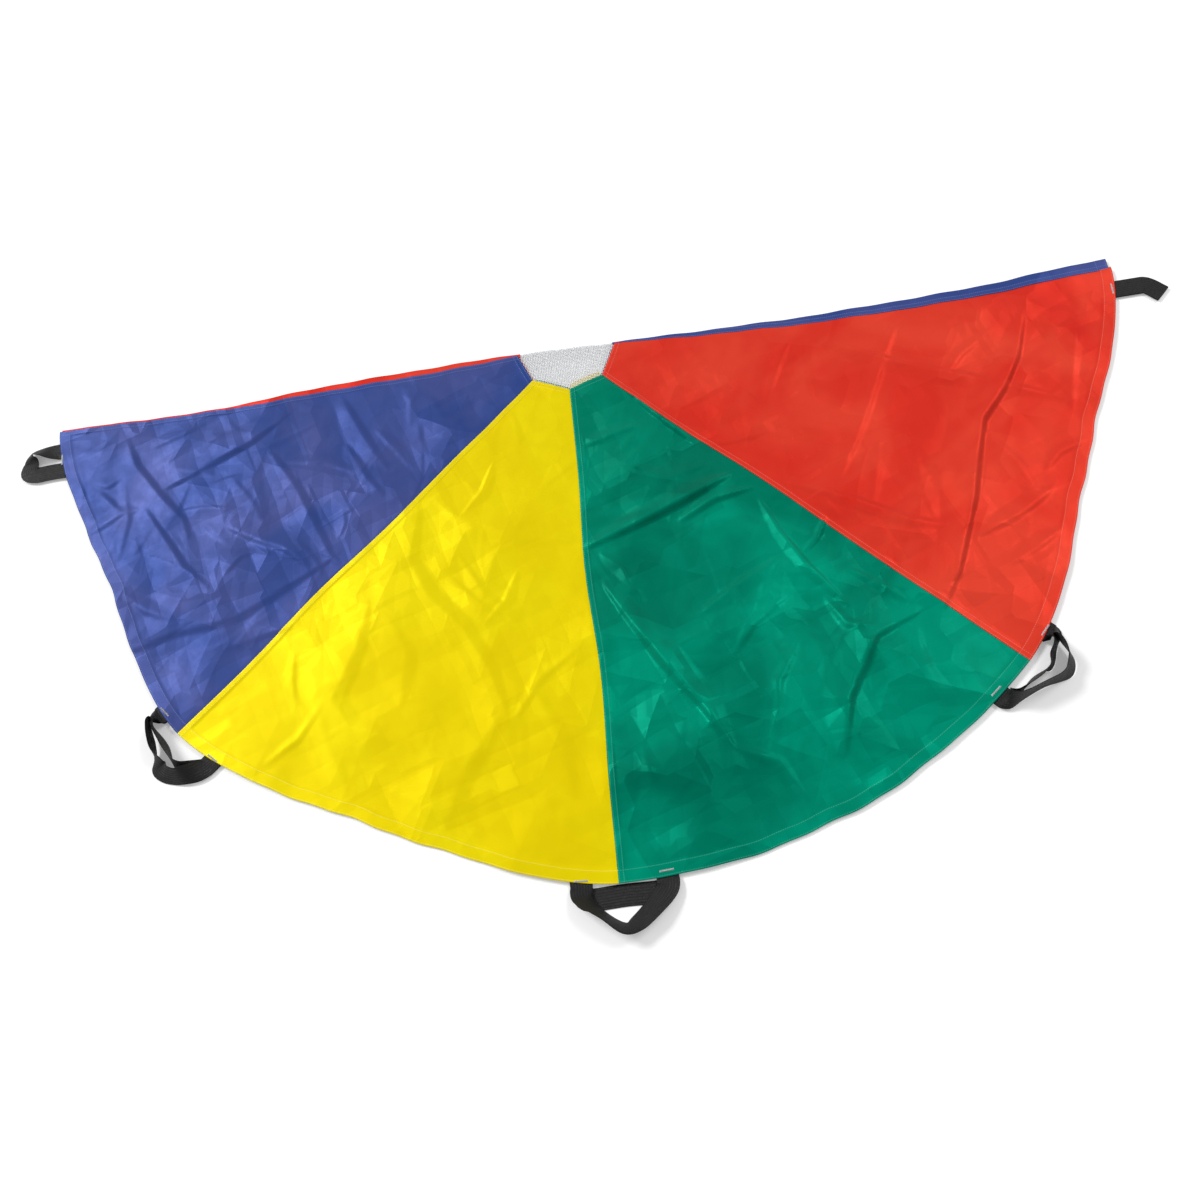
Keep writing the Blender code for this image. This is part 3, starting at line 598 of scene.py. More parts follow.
def gore_plan(index, upper, rows, columns, tuck=seam_tuck):
    """A gore's grid in plan, and each point's distance from its left seam, hem and crown.

    A row is an arc between the two seam lines. Its radius goes from the straight crown
    edge to the hem, which is an arc drawn in at its middle. The columns are close together
    over the left seam, and the last one is tucked under the next gore's seam."""
    share = gore_rows(rows)
    draw_in = 0.0 if upper else lower_draw_in
    lines = [seam_line(index + side, share, upper, draw_in) for side in (0, 1)]
    (left_radius, left_angle), (right_radius, right_angle) = polar(lines[0]), polar(lines[1])
    right_angle = np.where(right_angle < left_angle, right_angle + math.tau, right_angle)
    radius = (left_radius + right_radius) / 2
    left_angle = left_angle + seam_waver(index, share) / radius
    right_angle = right_angle + seam_waver(index + 1, share) / radius
    width = (right_angle - left_angle) * radius
    fixed = np.array([0.0, 0.0008, 0.0030, 0.0062, seam_width - 0.0006, seam_width + 0.0006])
    even = np.linspace(0.0, 1.0, columns)[1:]
    body = fixed[-1] + even * (width[:, None] + tuck - fixed[-1])
    across = np.concatenate([np.broadcast_to(fixed, (len(share), len(fixed))), body], axis=1)
    angle = left_angle[:, None] + across / radius[:, None]
    t = np.clip(across / width[:, None], 0.0, 1.0)
    inner_left, inner_right = lines[0][0], lines[1][0]
    chord = inner_right - inner_left
    crown_reach = ((inner_left[0] * chord[1] - inner_left[1] * chord[0])
                   / (np.cos(angle) * chord[1] - np.sin(angle) * chord[0]))
    if not upper:
        crown_reach = crown_reach - lower_crown_steps[index]
    inset = (upper_insets if upper else lower_insets)[index]
    corner_reach = left_radius[-1] * (1 - t) + right_radius[-1] * t
    ripple = (0.0016 * np.sin(across[-1] * 31 + index)
              + 0.0009 * np.sin(across[-1] * 83 + 2 * index))
    ripple = ripple * np.sin(math.pi * t[-1]) ** 2
    hem_reach = corner_reach - inset * np.sin(math.pi * t) ** 1.5 + ripple
    reach = crown_reach + share[:, None] * (hem_reach - crown_reach)
    x = reach * np.cos(angle)
    y = bowed(x, reach * np.sin(angle))
    distances = np.stack([across, hem_reach - reach, reach - crown_reach], axis=-1)
    return x, y, distances


print("fold bows by", round(float(np.abs(bow_knots_y).max()) * 1000, 1), "mm at most")

# %% [markdown]
# ## Creases
#
# Packed taffeta keeps crisp creases. Each one is a short polyline with a height and two
# widths. Where the side away from the light is narrow, it is steep and reads as a dark
# line, and the wide side tilts a whole panel. Where the side towards the light is narrow,
# it reads as a light line. The large ones are placed where the photo has them. Small
# random ones, and shallow bowls round random points, stand for those too many to place.

# %% Crease tables
# Each row has its points in metres from the crown's middle, then in millimetres the height,
# the width away from the light and the width towards it.
light_from = np.array([-0.8, 0.6])
blue_creases = (
    (((-0.79, -0.03), (-0.765, -0.10), (-0.72, -0.165), (-0.675, -0.22),
      (-0.665, -0.25)), 4.8, 8, 50),
    (((-0.745, -0.185), (-0.705, -0.25), (-0.67, -0.31), (-0.625, -0.355)), 4.3, 6, 43),
    (((-0.60, -0.245), (-0.55, -0.275), (-0.50, -0.30), (-0.455, -0.345)), 3.9, 8, 46),
    (((-0.52, -0.12), (-0.48, -0.19), (-0.45, -0.26), (-0.42, -0.325)), 4.6, 10, 56),
    (((-0.72, -0.155), (-0.64, -0.12), (-0.56, -0.085), (-0.49, -0.04)), 3.4, 10, 56),
    (((-0.735, -0.065), (-0.68, -0.045), (-0.62, -0.02)), 2.5, 8, 27),
    (((-0.40, -0.02), (-0.37, -0.09), (-0.34, -0.15), (-0.32, -0.18)), 3.0, 8, 30),
    (((-0.39, -0.125), (-0.355, -0.195), (-0.33, -0.23)), 2.9, 6, 23),
    (((-0.77, -0.345), (-0.73, -0.38), (-0.68, -0.405)), 2.9, 8, 20),
    (((-0.89, -0.03), (-0.86, -0.045), (-0.82, -0.05)), 2.5, 8, 20),
    (((-0.885, -0.05), (-0.866, -0.10), (-0.858, -0.145)), 2.5, 8, 20),
    (((-0.83, -0.14), (-0.80, -0.175), (-0.78, -0.19)), 2.3, 8, 20),
    (((-0.845, -0.22), (-0.79, -0.19), (-0.755, -0.185)), 2.3, 8, 20),
    (((-0.85, -0.115), (-0.815, -0.13), (-0.79, -0.115)), 1.8, 6, 17),
    (((-0.76, -0.45), (-0.68, -0.425), (-0.58, -0.415), (-0.49, -0.37),
      (-0.42, -0.335)), 2.9, 13, 100),
    (((-0.62, -0.015), (-0.585, -0.06), (-0.57, -0.065)), 1.8, 6, 17),
    (((-0.60, -0.335), (-0.575, -0.305), (-0.55, -0.30)), 1.8, 6, 14),
    (((-0.60, -0.47), (-0.54, -0.455), (-0.47, -0.44)), 1.4, 8, 20),
    (((-0.47, -0.30), (-0.445, -0.335), (-0.435, -0.36)), 1.8, 4, 11),
    (((-0.44, -0.29), (-0.425, -0.32), (-0.405, -0.35)), 1.4, 4, 11),
    (((-0.70, -0.50), (-0.64, -0.49), (-0.60, -0.52)), 1.1, 10, 27),
    (((-0.25, -0.04), (-0.22, -0.10), (-0.18, -0.13)), 1.1, 11, 40),
)
yellow_creases = (
    (((-0.27, -0.27), (-0.29, -0.36), (-0.26, -0.43), (-0.21, -0.49), (-0.17, -0.57),
      (-0.15, -0.64)), 2.9, 20, 85),
    (((-0.36, -0.43), (-0.38, -0.50), (-0.42, -0.58), (-0.39, -0.63), (-0.30, -0.67)), 2.0, 22, 63),
    (((-0.10, -0.12), (-0.095, -0.18), (-0.04, -0.195), (0.0, -0.215)), 1.2, 11, 38),
    (((-0.24, -0.26), (-0.18, -0.32), (-0.10, -0.35), (-0.02, -0.37)), 1.2, 17, 42),
    (((-0.20, -0.50), (-0.10, -0.55), (-0.02, -0.58)), 1.1, 17, 34),
    (((-0.15, -0.63), (-0.22, -0.72), (-0.25, -0.80)), 2.0, 22, 71),
    (((-0.10, -0.62), (-0.07, -0.70), (-0.06, -0.78)), 1.2, 17, 42),
    (((-0.50, -0.55), (-0.44, -0.62), (-0.40, -0.72)), 1.2, 20, 38),
    (((-0.33, -0.45), (-0.30, -0.52), (-0.31, -0.60)), 1.2, 20, 46),
    (((-0.36, -0.72), (-0.28, -0.76), (-0.20, -0.82)), 1.2, 17, 38),
)
green_creases = (
    (((0.00, -0.385), (0.06, -0.365), (0.13, -0.34), (0.24, -0.295)), 10.1, 8, 27),
    (((0.15, -0.365), (0.21, -0.335), (0.27, -0.325)), 5.4, 5, 14),
    (((0.01, -0.20), (0.06, -0.185), (0.11, -0.175)), 4.1, 7, 18),
    (((0.085, -0.09), (0.13, -0.15), (0.19, -0.225)), 4.8, 14, 6),
    (((0.02, -0.455), (0.06, -0.53), (0.10, -0.60), (0.15, -0.68), (0.175, -0.735)), 10.1, 31, 10),
    (((0.16, -0.525), (0.22, -0.49), (0.29, -0.455)), 6.7, 20, 8),
    (((0.28, -0.35), (0.30, -0.41), (0.33, -0.47), (0.38, -0.545)), 6.1, 7, 14),
    (((0.33, -0.45), (0.355, -0.43), (0.375, -0.395)), 5.4, 5, 8),
    (((0.48, -0.575), (0.41, -0.60), (0.355, -0.69), (0.335, -0.77)), 9.2, 9, 43),
    (((0.47, -0.60), (0.475, -0.66), (0.49, -0.71)), 4.8, 7, 14),
    (((0.35, -0.53), (0.375, -0.575), (0.42, -0.59)), 4.3, 5, 10),
    (((0.395, -0.49), (0.44, -0.525), (0.47, -0.555)), 4.4, 5, 10),
    (((0.02, -0.40), (0.05, -0.43), (0.06, -0.46)), 4.1, 7, 14),
    (((0.30, -0.59), (0.26, -0.65), (0.25, -0.70)), 3.6, 7, 12),
    (((0.18, -0.74), (0.24, -0.77), (0.27, -0.83)), 4.1, 7, 12),
    (((0.09, -0.25), (0.14, -0.285), (0.20, -0.27)), 2.5, 9, 16),
    (((0.20, -0.60), (0.235, -0.555), (0.29, -0.52)), 3.5, 7, 12),
    (((0.05, -0.72), (0.06, -0.80), (0.03, -0.85)), 3.5, 9, 14),
)
red_creases = (
    (((0.755, -0.085), (0.725, -0.16), (0.69, -0.215), (0.645, -0.265), (0.622, -0.33),
      (0.60, -0.40), (0.575, -0.46), (0.55, -0.52), (0.52, -0.57)), 8.5, 8, 50),
    (((0.40, -0.05), (0.47, -0.095), (0.55, -0.14), (0.65, -0.185), (0.72, -0.22),
      (0.79, -0.255)), 3.3, 24, 7),
    (((0.385, -0.04), (0.35, -0.10), (0.32, -0.165)), 2.1, 8, 16),
    (((0.555, -0.055), (0.52, -0.12), (0.46, -0.24), (0.41, -0.33)), 3.0, 8, 23),
    (((0.33, -0.325), (0.42, -0.37), (0.50, -0.42), (0.565, -0.445)), 3.0, 17, 7),
    (((0.70, -0.10), (0.64, -0.14), (0.60, -0.185)), 2.3, 6, 14),
    (((0.72, -0.405), (0.66, -0.44), (0.60, -0.465)), 3.7, 8, 23),
    (((0.715, -0.475), (0.67, -0.50), (0.63, -0.52)), 3.0, 6, 16),
    (((0.79, -0.33), (0.745, -0.345), (0.72, -0.37)), 2.3, 6, 14),
    (((0.84, -0.09), (0.805, -0.20), (0.785, -0.27)), 2.4, 8, 20),
    (((0.64, -0.28), (0.68, -0.35), (0.70, -0.42)), 2.4, 11, 25),
    (((0.20, -0.08), (0.30, -0.20), (0.34, -0.28)), 1.5, 13, 37),
)


def crease_height(x, y, creases):
    """The height that a table of creases adds.

    Across a crease the height falls off in a straight line on either side, over the width
    for that side. Towards its ends, height and widths shrink together, so that it runs out
    in a point. Where creases meet, the soft maximum of them counts."""
    total = np.zeros_like(x)
    for points, height, away, towards in creases:
        route = np.array(points)
        steps = np.diff(route, axis=0)
        lengths = np.hypot(*steps.T)
        starts = np.concatenate([[0.0], np.cumsum(lengths)])
        whole = route[-1] - route[0]
        lit_side = np.sign(whole[0] * light_from[1] - whole[1] * light_from[0])
        best = np.full(x.shape, np.inf)
        signed = np.zeros_like(x)
        along = np.zeros_like(x)
        for start, step, length, travelled in zip(route, steps, lengths, starts):
            dx, dy = x - start[0], y - start[1]
            share = np.clip((dx * step[0] + dy * step[1]) / length ** 2, 0.0, 1.0)
            ox, oy = dx - share * step[0], dy - share * step[1]
            distance = np.hypot(ox, oy)
            closer = distance < best
            best = np.where(closer, distance, best)
            signed = np.where(closer, np.sign(step[0] * oy - step[1] * ox), signed)
            along = np.where(closer, travelled + share * length, along)
        taper = np.sin(math.pi * (0.03 + 0.94 * along / starts[-1])) ** 0.6
        width = np.where(signed * lit_side > 0, towards, away) / 1000.0 * taper
        rounded = np.sqrt(best ** 2 + 0.0012 ** 2) - 0.0012
        tent = height / 1000.0 * taper * np.clip(1.0 - rounded / width, 0.0, 1.0)
        total = (total ** 3 + tent ** 3) ** (1 / 3) + 0.25 * np.minimum(total, tent)
    return total


def random_creases(counts, seed):
    """Small creases, a number in each gore: a start, a bend and an end in plan."""
    random = np.random.default_rng(seed)
    found = []
    for gore, count in enumerate(counts):
        for _ in range(count):
            degrees = random.uniform(seam_degrees[gore] + 3, seam_degrees[gore + 1] - 3)
            angle = math.pi + math.radians(degrees)
            radius = corner_radius * math.sqrt(random.uniform(0.05, 0.88))
            middle = radius * np.array([math.cos(angle), math.sin(angle)])
            heading = random.uniform(0, math.pi)
            half = random.uniform(0.022, 0.075) * np.array([math.cos(heading), math.sin(heading)])
            bend = random.uniform(-0.2, 0.2) * np.array([-half[1], half[0]])
            widths = sorted(random.uniform((4, 10), (7, 34)))
            if random.random() < 0.4:
                widths.reverse()
            found.append(((middle - half, middle + bend, middle + half),
                          random.uniform(0.5, 1.6), *widths))
    return tuple(found)


facet_random = np.random.default_rng(11)
facet_points = {size: facet_random.uniform([-1.0, -1.0], [1.0, 0.05], (count, 2))
                for size, count in ((0.075, 340), (0.035, 1500))}


def facet_height(x, y):
    """Crumples: shallow bowls round random points, which meet in a net of small ridges."""
    bend_x = x + 0.012 * np.sin(y * 37 + 1.3) + 0.006 * np.sin(x * 71 + y * 43)
    bend_y = y + 0.012 * np.sin(x * 33 + 0.4) + 0.006 * np.sin(y * 67 - x * 51)
    flat = np.stack([bend_x.ravel(), bend_y.ravel()], axis=1)
    height = np.zeros(len(flat))
    for size, points in facet_points.items():
        nearest = np.full(len(flat), np.inf)
        for block in np.array_split(points, max(1, len(points) // 100)):
            gap = np.hypot(flat[:, :1] - block[:, 0], flat[:, 1:] - block[:, 1])
            nearest = np.minimum(nearest, gap.min(axis=1))
        height += 0.040 * np.minimum(nearest, size) ** 2 / size
    return height.reshape(x.shape)


placed_creases = blue_creases + yellow_creases + green_creases + red_creases
print("creases:", len(placed_creases))

# %% [markdown]
# ## The upper layer's height
#
# The upper layer lies on the lower one, and stands a little higher where something is
# between them: at the fold, round the crown and over the sewn ends of the handles. The
# numbers are those of the frame, and the creases stand on top of them.

# %% Height of the upper layer
upper_low_z = 0.0025
upper_rest_z = 0.0063
all_creases = placed_creases + random_creases((34, 10, 34, 18), 5)
crumple_amounts = (0.16, 0.06, 0.14, 0.08)
handle_degrees = (43.0, 90.0, 132.0)
handle_draw_ins = (0.018, 0.0, 0.0)
fold_lift_reach = 0.110
crown_lift = (0.020, 0.100)
handle_lift = (0.105, 0.110)


def lift_share(x, y):
    """1 where the layer is held up, 0 where it lies low, with smooth steps between.

    The crown and each handle lift it fully up to a distance, and less over a second one."""
    lift = 1.0 - smooth_step(-(y - fold_bow(x)) / fold_lift_reach)
    from_crown = np.hypot(x, y) - crown_radius
    lift = np.maximum(lift, 1.0 - smooth_step((from_crown - crown_lift[0]) / crown_lift[1]))
    for degrees, draw_in in zip((0.0, *handle_degrees, 180.0), (0.0, *handle_draw_ins, 0.0)):
        angle = math.pi + math.radians(degrees)
        reach = corner_radius - draw_in
        gap = np.hypot(x - reach * math.cos(angle), y - reach * math.sin(angle))
        lift = np.maximum(lift, 1.0 - smooth_step((gap - handle_lift[0]) / handle_lift[1]))
    return lift


def crumple_share(x, y):
    """How crumpled the cloth is: one amount for each gore, with a soft change at a seam."""
    degrees = np.degrees(np.arctan2(y, x)) % 360.0 - 180.0
    knots = np.stack([seam_degrees[1:-1] - 2.0, seam_degrees[1:-1] + 2.0], axis=1).ravel()
    return np.interp(degrees, knots, np.repeat(crumple_amounts, 2)[1:-1])


def upper_height(x, y):
    """The underside of the upper layer: what it rests on, and its creases and crumples."""
    lift = lift_share(x, y)
    held = smooth_step((lift - 0.35) / 0.65)
    swell = 0.0016 * (1 + np.sin(9.5 * x + 4.2 * y + 0.7) * np.sin(11.3 * y - 3.1 * x + 0.2))
    free = crease_height(x, y, all_creases) + crumple_share(x, y) * facet_height(x, y) + swell
    return upper_low_z + (upper_rest_z - upper_low_z) * lift + free * (1.0 - 0.86 * held)


# %% Gore sheets
cloth_half = 0.00022


def relief(distances):
    """How much thicker the sheet is over its felled seam, its hem and the crown band."""
    seam, hem, crown = np.moveaxis(distances, -1, 0)
    over_seam = smooth_step((seam_width + 0.0004 - seam) / 0.0008)
    over_hem = smooth_step((hem_width + 0.0004 - hem) / 0.0008)
    over_crown = smooth_step((0.0104 - crown) / 0.0008)
    return np.maximum(np.maximum(0.00040 * over_seam, 0.00032 * over_hem), 0.00025 * over_crown)


def make_cloth(layer, colour, middle, distances, outer_share):
    """A gore's closed cloth from its middle surface. The outer face takes a share of the
    relief and the inner one the rest. Both skins carry the distances."""
    thicker = relief(distances)
    points, faces = closed_sheet(placed(middle), cloth_half + outer_share * thicker,
                                 cloth_half + (1.0 - outer_share) * thicker)
    flat = distances.reshape(-1, 3)
    cloth = make_object("gore_cloth_" + layer + "_" + colour, points, faces, taffeta[colour],
                        {"edge_distances": np.concatenate([flat, flat])})
    print(cloth.name, len(cloth.data.polygons), "faces")
    return cloth


def under_next(distances):
    """1 at a gore's last column, which is tucked under the next seam, and 0 away from it."""
    across = distances[..., 0]
    return smooth_step((across - across[:, -1:] + 0.006) / 0.004)


def make_upper_gore(index, colour, rows, columns):
    """One gore of the upper half: its plan, its height, and relief on its outer face."""
    x, y, distances = gore_plan(index, True, rows, columns)
    z = upper_height(x, y) + cloth_half - 0.0005 * under_next(distances)
    gore = make_cloth("upper", colour, np.stack([x, y, z], axis=-1), distances, 1.0)
    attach(gore, "upper_half")
    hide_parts("gore_upper_" + colour)
    return gore


upper_colours = ("blue", "yellow", "green", "red")
row_count, column_count = ((216, 156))
upper_gores = [make_upper_gore(index, colour, row_count, column_count)
               for index, colour in enumerate(upper_colours)]

# %% [markdown]
# ## The two gores that go over the fold
#
# The end gores of the lower half are wider than the half circle, so they are turned over
# the fold and end a little way in front of it, at their seams. Each is one sheet: flat on
# the floor, round the back of the fold, and forwards again on top.

# %% Sheets that turn over the fold
lower_middle_z = 0.0010
strip_z = upper_rest_z + 0.0002
turn_steps = 9
strip_steps = np.array([0.0, 0.25, 0.5, 0.72, 0.9, 1.0])
# The distance to a seam that is given where no seam is near
no_seam_near = 0.2


def lower_z(x, y):
    """The lower layer lies on the floor, with a slight swell in it."""
    return lower_middle_z + 0.0002 * np.sin(19 * x + 5 * y) * np.sin(17 * y)


def turned_columns(index, side, rows, columns):
    """A lower gore's grid, carried on round the fold and over the turned strip.

    The part on the floor is the gore's plan. The turn is half an ellipse behind the fold
    line, from the lower layer's height to the upper one's. The strip goes from the fold
    to its seam, and its last column is tucked under the next gore's seam."""
    x, y, distances = gore_plan(index, False, rows, columns, tuck=0.0)
    fold_edge = 0 if side < 0 else -1
    fold_x = x[:, fold_edge]
    fold_y = fold_bow(fold_x)
    turnover = np.interp(fold_x, turnover_x[fold_edge], turnover_y[fold_edge])
    reach = bowed(fold_x, -turnover) - fold_y
    floor_part = np.stack([x, y, lower_z(x, y)], axis=-1)
    floor_part[:, fold_edge, 1] = fold_y
    angles = np.linspace(0, math.pi, turn_steps + 2)[1:-1]
    low, high = floor_part[:, fold_edge, 2], strip_z
    centre_z, half = (low + high) / 2, (high - low) / 2
    turn = np.stack([np.broadcast_to(fold_x[:, None], (len(fold_x), turn_steps)),
                     fold_y[:, None] + 0.0034 * np.sin(angles),
                     centre_z[:, None] - half[:, None] * np.cos(angles)], axis=-1)
    return floor_part, turn, reach, fold_x, fold_y, distances


def past_fold(seam_gap, at_fold):
    """Distances past the fold: a gap to the seam, and the hem's and crown's as at the fold."""
    others = np.broadcast_to(at_fold[:, :, 1:], seam_gap.shape + (2,))
    return np.concatenate([seam_gap[..., None], others], axis=2)


def make_end_cloth(colour, index, side, rows, columns):
    """The whole end gore on one side: -1 for the left end of the fold, 1 for the right.

    On the left, the strip's last 3 mm are tucked under the next gore's seam. On the right,
    the strip ends in the gore's own seam, and its distances grow from there."""
    floor_part, turn, reach, fold_x, fold_y, distances = turned_columns(index, side, rows, columns)
    over = reach - seam_tuck if side < 0 else reach
    strip_y = fold_y[:, None] + over[:, None] * strip_steps
    strip_x = np.broadcast_to(fold_x[:, None], strip_y.shape)
    drop = (0.0004 if side < 0 else 0.0) * strip_steps
    strip = np.stack([strip_x, strip_y, np.broadcast_to(strip_z - drop, strip_y.shape)], axis=-1)
    if side < 0:
        middle = np.concatenate([floor_part[:, ::-1], turn, strip], axis=1)
        far = np.full((len(fold_x), turn_steps + len(strip_steps)), no_seam_near)
        values = np.concatenate([distances[:, ::-1], past_fold(far, distances[:, :1])], axis=1)
    else:
        middle = np.concatenate([strip[:, ::-1], turn[:, ::-1], floor_part[:, ::-1]], axis=1)
        seam_gap = np.abs(over)[:, None] * (1 - strip_steps[::-1])
        far = np.full((len(fold_x), turn_steps), no_seam_near)
        top = past_fold(np.concatenate([seam_gap, far], axis=1), distances[:, -1:])
        values = np.concatenate([top, distances[:, ::-1]], axis=1)
    cloth = make_cloth("end", colour, middle, values, 0.5)
    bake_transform(cloth)
    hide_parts("gore_lower_" + colour, "fold_turn_" + colour, "turned_edge_" + colour)
    return cloth


def make_lower_gore(index, colour, rows, columns):
    """A gore of the lower half that lies wholly on the floor, its outer face down."""
    x, y, distances = gore_plan(index, False, rows, columns)
    z = lower_z(x, y) - 0.0003 * under_next(distances)
    gore = make_cloth("lower", colour, np.stack([x, y, z], axis=-1)[:, ::-1],
                      distances[:, ::-1], 0.5)
    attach(gore, "lower_half")
    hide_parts("gore_lower_" + colour)
    return gore


lower_rows, lower_columns = ((110, 64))
end_cloths = [make_end_cloth("red", 0, -1, lower_rows, lower_columns),
              make_end_cloth("blue", 3, 1, lower_rows, lower_columns)]
lower_gores = [make_lower_gore(1, "green", lower_rows, lower_columns),
               make_lower_gore(2, "yellow", lower_rows, lower_columns)]

# %% [markdown]
# ## The crown net
#
# A fine square mesh closes the crown. It is one piece that is folded with the rest, so it
# is made flat, as a full eight-sided lattice, and then carried round the fold. Its rim is
# hidden under the crown bands of the gores.

# %% Net material and lattice
def make_net_material():
    """White polyester yarn: slightly rough, with a twist along it."""
    material, tree, shader = new_material("white_net")
    place = object_place(tree)
    colour = mixed(tree, noise(tree, place, 240.0, 2.0).outputs[0],
                   (0.74, 0.76, 0.78, 1), (0.86, 0.87, 0.88, 1))
    twist = bump(tree, noise(tree, place, 1500.0, 1.0).outputs[0], 0.3, 0.0002)
    set_inputs(tree, shader, {"Base Color": colour, "Normal": twist, "Roughness": 0.62,
                              "Sheen Weight": 0.2})
    return material


# The lattice, how far it reaches under the crown bands, and its turn round the fold: half
# the turn's length, its depth, the two layers' heights and the upper one's sag.
net_pitch = 0.0029
net_cord = 0.0007
net_half = 0.3 * net_cord
net_margin = 0.0055
net_turn_half = 0.0050
net_turn_depth = 0.0026
net_heights = (0.0004, 0.0052)
net_sag = 0.0010


def lattice_lines(count):
    """The edges of the cords of a square lattice that is centred on zero."""
    middles = (np.arange(count + 1) - count / 2) * net_pitch
    return np.stack([middles - net_cord / 2, middles + net_cord / 2], axis=1).ravel()


def folded_net(x, s):
    """A flat lattice point carried round the fold: s is 0 at the back of the fold,
    negative on the lower layer and positive on the upper one."""
    angle = np.clip(s / net_turn_half, -1, 1) * math.pi / 2
    y = (fold_bow(x) + net_turn_depth * np.cos(angle)
         - np.maximum(np.abs(s) - net_turn_half, 0.0))
    low_z, high_z = net_heights
    sag = net_sag * np.clip(1 - (x / 0.08) ** 2, 0, 1) * smooth_step((s - 0.01) / 0.03)
    z = (low_z + high_z) / 2 + (high_z - low_z) / 2 * np.sin(angle) - sag
    return np.stack([x, y, z], axis=-1)


def make_net(material):
    """The whole net: a lattice inside an eight-sided outline, with closed cords."""
    count = int(2 * (crown_radius + 0.004) / net_pitch) // 2 * 2
    lines = lattice_lines(count)
    x, s = np.meshgrid(lines, lines, indexing="ij")
    size = len(lines)
    cell = np.arange(size - 1)
    column, row = np.meshgrid(cell, cell, indexing="ij")
    middle_x = (lines[:-1] + lines[1:])[column] / 2
    middle_s = (lines[:-1] + lines[1:])[row] / 2
    apothem = crown_radius * math.cos(math.pi / 8) + net_margin
    turned = [np.abs(middle_x * math.cos(a) + middle_s * math.sin(a))
              for a in math.pi / 8 + math.pi / 4 * np.arange(4)]
    inside = np.max(turned, axis=0) < apothem
    cord = inside & ~((column % 2 == 1) & (row % 2 == 1))
    total = size * size
    corners = quads_of(size, size).reshape(size - 1, size - 1, 4)
    skins = corners[cord]
    walls = []
    padded = np.pad(cord, 1)
    for (dx, dy), (first, second) in (((0, -1), (0, 1)), ((1, 0), (1, 2)), ((0, 1), (2, 3)),
                                      ((-1, 0), (3, 0))):
        beyond = padded[1 + dx:size + dx, 1 + dy:size + dy]
        edge = cord & ~beyond
        a, b = corners[edge][:, first], corners[edge][:, second]
        walls.append(np.stack([a, b, b + total, a + total], axis=-1))
    faces = np.concatenate([skins, skins[:, ::-1] + total] + walls)
    middle = folded_net(x, s)
    normals = grid_normals(middle)
    points = placed(np.concatenate([(middle + normals * net_half).reshape(-1, 3),
                                    (middle - normals * net_half).reshape(-1, 3)]))
    used, faces = np.unique(faces, return_inverse=True)
    return make_object("crown_net_cloth", points[used], faces.reshape(-1, 4), material)


crown_net = make_net(make_net_material())
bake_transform(crown_net)
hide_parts("crown_net_lower", "crown_net_upper", "fold_turn_net")
print("net:", len(crown_net.data.polygons), "faces, pitch", net_pitch * 1000, "mm")

# %% [markdown]
# ## Webbing handles
#
# Each handle is a length of black webbing, 32 mm wide, sewn under the hem with both ends.
# In the photo the loops lie as they fell: out from under the hem, up on one edge, and
# back. A route gives the middle of the webbing, how far it leans, and how high its lower
# edge is, and the strap's rounded section is carried along it.

# %% Webbing material
strap_width = 0.032
strap_thickness = 0.0015
sewn_length = 0.017
rib_length = 0.0022
bundle_width = 0.0040


def make_webbing_material():
    """Black polypropylene webbing: ribs across, bundles along, and worn, greyer tops."""
    material, tree, shader = new_material("black_webbing")
    along, across, _ = point_table(tree, "strap_lengths")
    bundle = sine_wave(tree, across, bundle_width)
    bent = arithmetic(tree, "MULTIPLY_ADD", along, math.tau / rib_length,
                      arithmetic(tree, "MULTIPLY", bundle, 1.4))
    height = arithmetic(tree, "MULTIPLY_ADD", arithmetic(tree, "SINE", bent), 0.6,
                        arithmetic(tree, "MULTIPLY", bundle, 0.5))
    raised = smooth_between(tree, height, -0.4, 1.0)
    fuzz = noise(tree, object_place(tree), 420.0, 2.0).outputs[0]
    tone = arithmetic(tree, "MULTIPLY", raised, fuzz)
    set_inputs(tree, shader, {
        "Base Color": mixed(tree, tone, (0.003, 0.003, 0.0035, 1), (0.0145, 0.0135, 0.013, 1)),
        "Normal": bump(tree, height, 0.6, 0.0004),
        "Roughness": smooth_between(tree, fuzz, 0.3, 0.7, 0.50, 0.66),
        "Sheen Weight": 0.08, "Sheen Roughness": 0.4, "Specular IOR Level": 0.4})
    return material


webbing = make_webbing_material()

# %% Strap sweep
section_angle = np.linspace(0, math.tau, 20, endpoint=False)
section_across = np.sign(np.cos(section_angle)) * np.abs(np.cos(section_angle)) ** 0.22
section_up = np.sign(np.sin(section_angle)) * np.abs(np.sin(section_angle)) ** 0.75


def smooth_route(stations, spacing):
    """A Catmull-Rom curve through stations of any number of values, at even steps."""
    table = np.array(stations, dtype=float)
    ends = np.concatenate([[2 * table[0] - table[1]], table, [2 * table[-1] - table[-2]]])
    share = np.linspace(0, 1, 16, endpoint=False)[:, None]
    before, start = ends[:-3, None], ends[1:-2, None]
    end, after = ends[2:-1, None], ends[3:, None]
    curve = 0.5 * (2 * start + (end - before) * share
                   + (2 * before - 5 * start + 4 * end - after) * share ** 2
                   + (3 * start - before - 3 * end + after) * share ** 3)
    fine = np.concatenate([curve.reshape(-1, table.shape[1]), table[-1:]])
    travelled = way_along(fine[:, :2])
    even = np.linspace(0, travelled[-1], max(8, int(travelled[-1] / spacing)))
    return np.stack([np.interp(even, travelled, column) for column in fine.T], axis=1)


